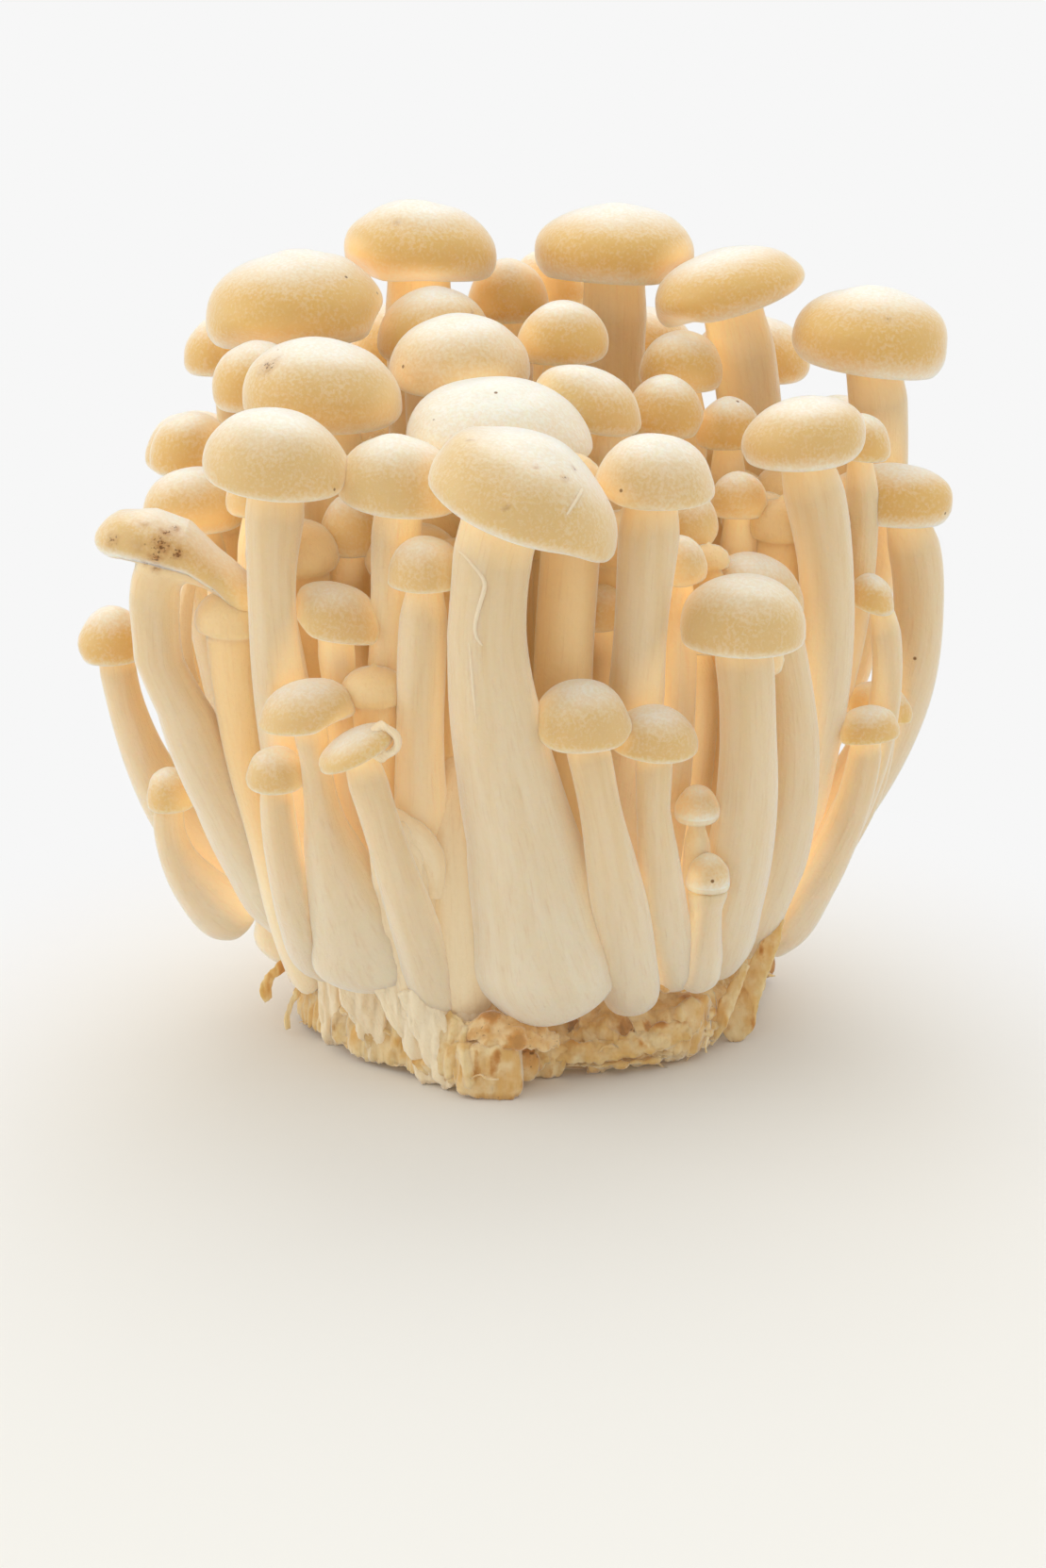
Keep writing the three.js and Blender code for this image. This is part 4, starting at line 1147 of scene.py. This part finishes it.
def growTornPieces():
    look, pieces = tornLook, []
    turn, (wide, deep) = look["blockTurn"], look["blockSize"]
    out = np.array([math.cos(turn), math.sin(turn), 0])
    start = out * (castIn(rootTree, turn, 3 * mm) - 2.2 * mm)
    block = np.array([start + np.array([lean, 0, z]) * mm for lean, z in look["block"]])
    grow = np.array([0.92, 1.0, 1.0, 0.98, 0.92, 0.75])
    pieces.append(tornBand("frontBlock", block, wide * mm * grow, deep * mm * grow, 24, 0.0, (0.0, 1.0, 0.0),
                           96, 0.35, {"depth": 0.25, "paleness": 0.6, "crowding": 0.1}, 0.3, (1.6, 9), 0.9))
    hollow, grow = smoothPath(np.array(look["hollow"]) * mm, 26), tapered(26, 0.3, 0.5)
    pieces.append(tornBand("stainedHollow", hollow, 4.4 * mm * grow, 2.2 * mm * grow, 12, 0.3,
                           (0.0, -1.0, 0.6), 60, 0.35, {"depth": 0.42, "stain": 0.35, "crowding": 0.3},
                           0.8, (3, 3)))
    lip, grow = smoothPath(wallPath(*zip(*look["lip"])), 28), tapered(28, 0.3, 0.5)
    pieces.append(tornBand("tornLip", lip, 3.6 * mm * grow, 1.6 * mm * grow, 10, 0.3, (0.3, -0.8, 0.5), 48,
                           0.4, {"depth": 0.25, "paleness": 0.5, "crowding": 0.1}, 0.7, (2.4, 2.4)))
    grow = tapered(60, 0.2, 0.4)
    for i, (turn, span, low, high) in enumerate(rootLook["curtains"]):
        turns = np.linspace(turn - span, turn + span, 9)
        path = wallPath(turns, [0.5 * (low + high)] * 9, [0.5] * 9, [0.5 * (low + 6)] * 9)
        across = (math.cos(turn), math.sin(turn), 0.25)
        fields = {"depth": 0.28, "paleness": 0.6, "crowding": 0.1}
        pieces.append(tornBand(f"curtain{i}", smoothPath(path, 60), (high - low) * mm * grow, 2.0 * mm * grow,
                               24, 0.0, across, 72, 0.5, fields, 1.3, (2.6, 40), 0.5))
    rng, grow = np.random.default_rng(77), tapered(28, 0.25, 0.6)
    for i in range(rootLook["shelves"]):
        turn = 2 * math.pi * (i + rng.uniform(-0.3, 0.3)) / rootLook["shelves"]
        turns = turn + np.linspace(-0.5, 0.5, 7) * rng.uniform(0.4, 0.8)
        heights = rng.uniform(2.0, 7.5) + np.cumsum(rng.uniform(-0.7, 0.7, 7))
        path = wallPath(turns, np.clip(heights, 1.2, 8.5), rng.uniform(0.0, 1.3, 7))
        wide = rng.uniform(2.4, 4.6)
        fields = {"depth": rng.uniform(0.15, 0.5), "paleness": 0.5, "crowding": 0.1}
        across = (0.35 * math.cos(turn), 0.35 * math.sin(turn), 1.0)
        pieces.append(tornBand(f"shelf{i}", smoothPath(path, 28), wide * mm * grow, 1.1 * mm * grow, 10, 0.5,
                               across, 28, 0.55, fields, 0.7, (2.5, 2.5)))
    for name, (points, wide) in look["strips"].items():
        path, wide = smoothPath(points, 5 * len(points)) * mm, smoothPath(wide, 5 * len(points)) * mm
        pieces.append(tornBand(name, path, wide, np.minimum(wide * 0.5, 0.9 * mm), 10, 0.5, None, 30, 0.3,
                               {"depth": 0.2, "paleness": 0.8, "crowding": 0.1}, 0.25, (1.2, 4)))
    return joined("tornPieces", pieces)


tornPiece = growTornPieces()
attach(tornPiece, "root")
print("torn pieces grown")


def newTree(name, inputs):
    # a Geometry Nodes tree with its own named inputs and one geometry output
    tree = bpy.data.node_groups.new(name, "GeometryNodeTree")
    tree.interface.new_socket("Geometry", in_out="OUTPUT", socket_type="NodeSocketGeometry")
    tree.interface.new_socket("Geometry", in_out="INPUT", socket_type="NodeSocketGeometry")
    for label, kind in inputs.items():
        tree.interface.new_socket(label, in_out="INPUT", socket_type=kind)
    return tree, addNode(tree, "NodeGroupInput", output=None).outputs


def runTree(tree, guide, values, name):
    # the tree's result on a guide, as a plain mesh
    guide.modifiers.clear()
    modifier = guide.modifiers.new(tree.name, "NODES")
    modifier.node_group = tree
    for item in tree.interface.items_tree:
        if item.item_type == "SOCKET" and item.in_out == "INPUT" and item.name in values:
            modifier[item.identifier] = values[item.name]
    evaluated = guide.evaluated_get(bpy.context.evaluated_depsgraph_get())
    mesh = bpy.data.meshes.new_from_object(evaluated)
    mesh.name = name
    guide.modifiers.remove(modifier)
    piece = bpy.data.objects.new(name, mesh)
    scene.collection.objects.link(piece)
    mesh.polygons.foreach_set("use_smooth", np.ones(len(mesh.polygons), bool))
    return piece


def scatterTree():
    # ragged shreds on the torn wall: denser where the wall attribute is high, each set on the wall and
    # leaning and turned at random
    tree, given = newTree("scatterShreds", {
        "Shred": "NodeSocketObject", "Count": "NodeSocketFloat", "Smallest": "NodeSocketFloat",
        "Largest": "NodeSocketFloat", "Seed": "NodeSocketInt", "Material": "NodeSocketMaterial"})
    seed = given["Seed"]
    wall = addNode(tree, "GeometryNodeInputNamedAttribute", {"Name": "wall"}, data_type="FLOAT")
    density = addNode(tree, "ShaderNodeMath", (wall, given["Count"]), operation="MULTIPLY")
    points = addNode(tree, "GeometryNodeDistributePointsOnFaces", {
        "Mesh": given["Geometry"], "Density": density, "Seed": seed}, None, distribute_method="RANDOM")
    facing = addNode(tree, "FunctionNodeAlignEulerToVector", {"Vector": points.outputs["Normal"]}, axis="Z")
    lean = addNode(tree, "FunctionNodeRandomValue", {0: (-0.5, -0.5, -3.1), 1: (0.5, 0.5, 3.1), "Seed": seed},
                   data_type="FLOAT_VECTOR")
    turned = addNode(tree, "FunctionNodeRotateEuler", {"Rotation": facing, "Rotate By": lean},
                     rotation_type="EULER", space="LOCAL")
    size = addNode(tree, "FunctionNodeRandomValue", {
        2: given["Smallest"], 3: given["Largest"], "Seed": seed}, 1, data_type="FLOAT")
    shred = addNode(tree, "GeometryNodeObjectInfo", {"Object": given["Shred"]}, "Geometry")
    placed = addNode(tree, "GeometryNodeInstanceOnPoints", {
        "Points": points.outputs["Points"], "Instance": shred, "Rotation": turned, "Scale": size})
    real = addNode(tree, "GeometryNodeRealizeInstances", (placed,))
    finished = addNode(tree, "GeometryNodeSetMaterial", {0: real, "Material": given["Material"]})
    addNode(tree, "NodeGroupOutput", (finished,))
    return tree


def shredShape(name, seed, bend, wide):
    # one torn strip, lying along +X from the origin and lifting off at its end
    rng = np.random.default_rng(seed)
    share = np.linspace(0, 1, 7)
    path = np.stack([share, 0.12 * np.sin(share * 5 + seed), bend * share ** 2], axis=1)
    widths = wide * (1 - share ** 1.5) * rng.uniform(0.7, 1.3, 7) + 0.05
    rings = bandRings(path, widths, np.full(7, 0.07), 6, 0.6, (0.0, 0.0, 1.0))
    shape = rings.shape[:2]
    fields = {"depth": np.full(shape, 0.25), "stain": np.zeros(shape), "crowding": np.full(shape, 0.25),
              "paleness": np.full(shape, 0.5)}
    return meshFromRows(name, rings, fields, (mycelium,))


# Each kind of shred: how far it bends up, its width, and its smallest and largest share of the shred length
shredKinds = ((0.35, 0.34, 0.4, 1.0), (0.7, 0.22, 0.3, 0.8), (0.1, 0.5, 0.3, 0.7))


def clothRoot():
    look, pieces = rootLook, []
    area = sum(face.area for face in rootPiece.data.polygons) / 2
    tree = scatterTree()
    kinds = [(f"shred{i}", f"shreds{i}", i, bend, wide, look["shreds"] / 3, low * look["shredLength"],
              high * look["shredLength"], 11 + i) for i, (bend, wide, low, high) in enumerate(shredKinds)]
    kinds.append(("strand", "fibres", 9, 0.9, 0.05, look["fibres"], *look["fibreLengths"], 23))
    for shapeName, name, shapeSeed, bend, wide, count, smallest, largest, seed in kinds:
        shape = shredShape(shapeName, shapeSeed, bend, wide)
        pieces.append(runTree(tree, rootPiece, {
            "Shred": shape, "Count": count / area, "Smallest": smallest, "Largest": largest, "Seed": seed,
            "Material": mycelium}, name))
        bpy.data.objects.remove(shape)
    return joined("rootShreds", pieces)


shredPiece = clothRoot()
corners = np.zeros(len(shredPiece.data.vertices) * 3)
shredPiece.data.vertices.foreach_get("co", corners)
corners[2::3] = np.maximum(corners[2::3], 0.05 * mm)     # nothing reaches into the table
shredPiece.data.vertices.foreach_set("co", corners)
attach(shredPiece, "root")
print("shreds:", len(shredPiece.data.polygons), "faces")


# The table is pale and plain. Far from the bunch it is seen as an even white, so that only the shadow shows
stageLook = {
    "tableHalf": 6.0, "table": "#ECEAE6", "white": "#F7F7F7",
    "shadowSize": (0.085, 0.11), "shadowMiddle": 0.62, "shadowFade": (0.55, 1.5), "aheadFade": (0.16, 0.02),
    "daylight": "#FBFCFA", "skyBehind": 1.02, "skyInFront": 0.6, "sunlight": (0.99, 0.97, 0.93),
    # strength, and in degrees the width, the height and the turn from behind
    "suns": {"backWindow": (0.6, 50, 52, 4), "sideWindow": (0.6, 50, 28, -92)},
}


def tableTop():
    half = stageLook["tableHalf"]
    mesh = bpy.data.meshes.new("tableTop")
    corners = [(-half, -half, 0), (half, -half, 0), (half, half, 0), (-half, half, 0)]
    mesh.from_pydata(corners, [], [(0, 1, 2, 3)])
    table = bpy.data.objects.new("tableTop", mesh)
    scene.collection.objects.link(table)
    material, tree = newMaterial("paintedTable")
    place = addNode(tree, "ShaderNodeTexCoord", output="Object")
    depth = addNode(tree, "ShaderNodeSeparateXYZ", {"Vector": place}, "Y")
    ahead = addNode(tree, "ShaderNodeMath", (depth, -1.0), operation="MULTIPLY")
    wide, deep = stageLook["shadowSize"]
    moved = addNode(tree, "ShaderNodeMapping", {
        "Vector": place, "Location": (0, stageLook["shadowMiddle"], 0), "Scale": (1 / wide, 1 / deep, 0)})
    away = addNode(tree, "ShaderNodeVectorMath", {0: moved}, "Value", operation="LENGTH")
    rays = addNode(tree, "ShaderNodeLightPath", output=None)
    seen = addNode(tree, "ShaderNodeMath", (rays.outputs["Is Camera Ray"], rays.outputs["Is Glossy Ray"]),
                   operation="MAXIMUM")
    clear = [addNode(tree, "ShaderNodeMapRange", (distance, *limits), interpolation_type="SMOOTHSTEP")
             for distance, limits in ((away, stageLook["shadowFade"]), (ahead, stageLook["aheadFade"]))]
    clear = addNode(tree, "ShaderNodeMath", clear, operation="MULTIPLY")
    share = addNode(tree, "ShaderNodeMath", (clear, seen), operation="MULTIPLY")
    shaded = addNode(tree, "ShaderNodeBsdfDiffuse", {"Color": linearColour(stageLook["table"])})
    white = addNode(tree, "ShaderNodeEmission", {"Color": linearColour(stageLook["white"]), "Strength": 1.0})
    blend = addNode(tree, "ShaderNodeMixShader", (share, shaded, white))
    addNode(tree, "ShaderNodeOutputMaterial", {"Surface": blend})
    mesh.materials.append(material)


def studioLight():
    world = bpy.data.worlds.new("softStudio")
    scene.world = world
    world.use_nodes = True
    tree = world.node_tree
    tree.nodes.clear()
    direction = addNode(tree, "ShaderNodeTexCoord", output="Generated")
    depth = addNode(tree, "ShaderNodeSeparateXYZ", {"Vector": direction}, "Y")
    strengths = stageLook["skyInFront"], stageLook["skyBehind"]
    strength = addNode(tree, "ShaderNodeMapRange", (depth, -0.95, 0.15, *strengths),
                       interpolation_type="SMOOTHSTEP")
    light = addNode(tree, "ShaderNodeBackground", {
        "Color": linearColour(stageLook["daylight"]), "Strength": strength})
    seen = addNode(tree, "ShaderNodeBackground", {"Color": linearColour(stageLook["white"]), "Strength": 1.0})
    isSeen = addNode(tree, "ShaderNodeLightPath", output="Is Camera Ray")
    blend = addNode(tree, "ShaderNodeMixShader", (isSeen, light, seen))
    addNode(tree, "ShaderNodeOutputWorld", {"Surface": blend})
    for name, (strength, angle, height, turn) in stageLook["suns"].items():
        lamp = bpy.data.lights.new(name, "SUN")
        lamp.energy, lamp.angle, lamp.color = strength, math.radians(angle), stageLook["sunlight"]
        window = bpy.data.objects.new(name, lamp)
        height, turn = math.radians(height), math.radians(turn)
        level = math.cos(height)
        towards = Vector((math.sin(turn) * level, math.cos(turn) * level, math.sin(height)))
        window.rotation_mode = "QUATERNION"
        window.rotation_quaternion = towards.to_track_quat("Z", "Y")
        scene.collection.objects.link(window)


# The places of the camera and its aim, in metres, and its lens in millimetres
cameraLook = {"place": (-0.0007, -0.5673, 0.2273), "aim": (-0.0007, 0, 0.032), "lens": 96, "sensor": 36}


def frontCamera():
    lens = bpy.data.cameras.new("camera")
    lens.lens, lens.sensor_width, lens.sensor_fit = cameraLook["lens"], cameraLook["sensor"], "AUTO"
    lens.clip_start, lens.clip_end = 0.01, 50
    camera = bpy.data.objects.new("camera", lens)
    camera.location = cameraLook["place"]
    camera.rotation_mode = "QUATERNION"
    camera.rotation_quaternion = (Vector(cameraLook["aim"]) - camera.location).to_track_quat("-Z", "Y")
    scene.collection.objects.link(camera)
    scene.camera = camera


tableTop()
studioLight()
frontCamera()
scene.view_settings.view_transform = "Standard"
print("stage set")

bpy.context.view_layer.update()
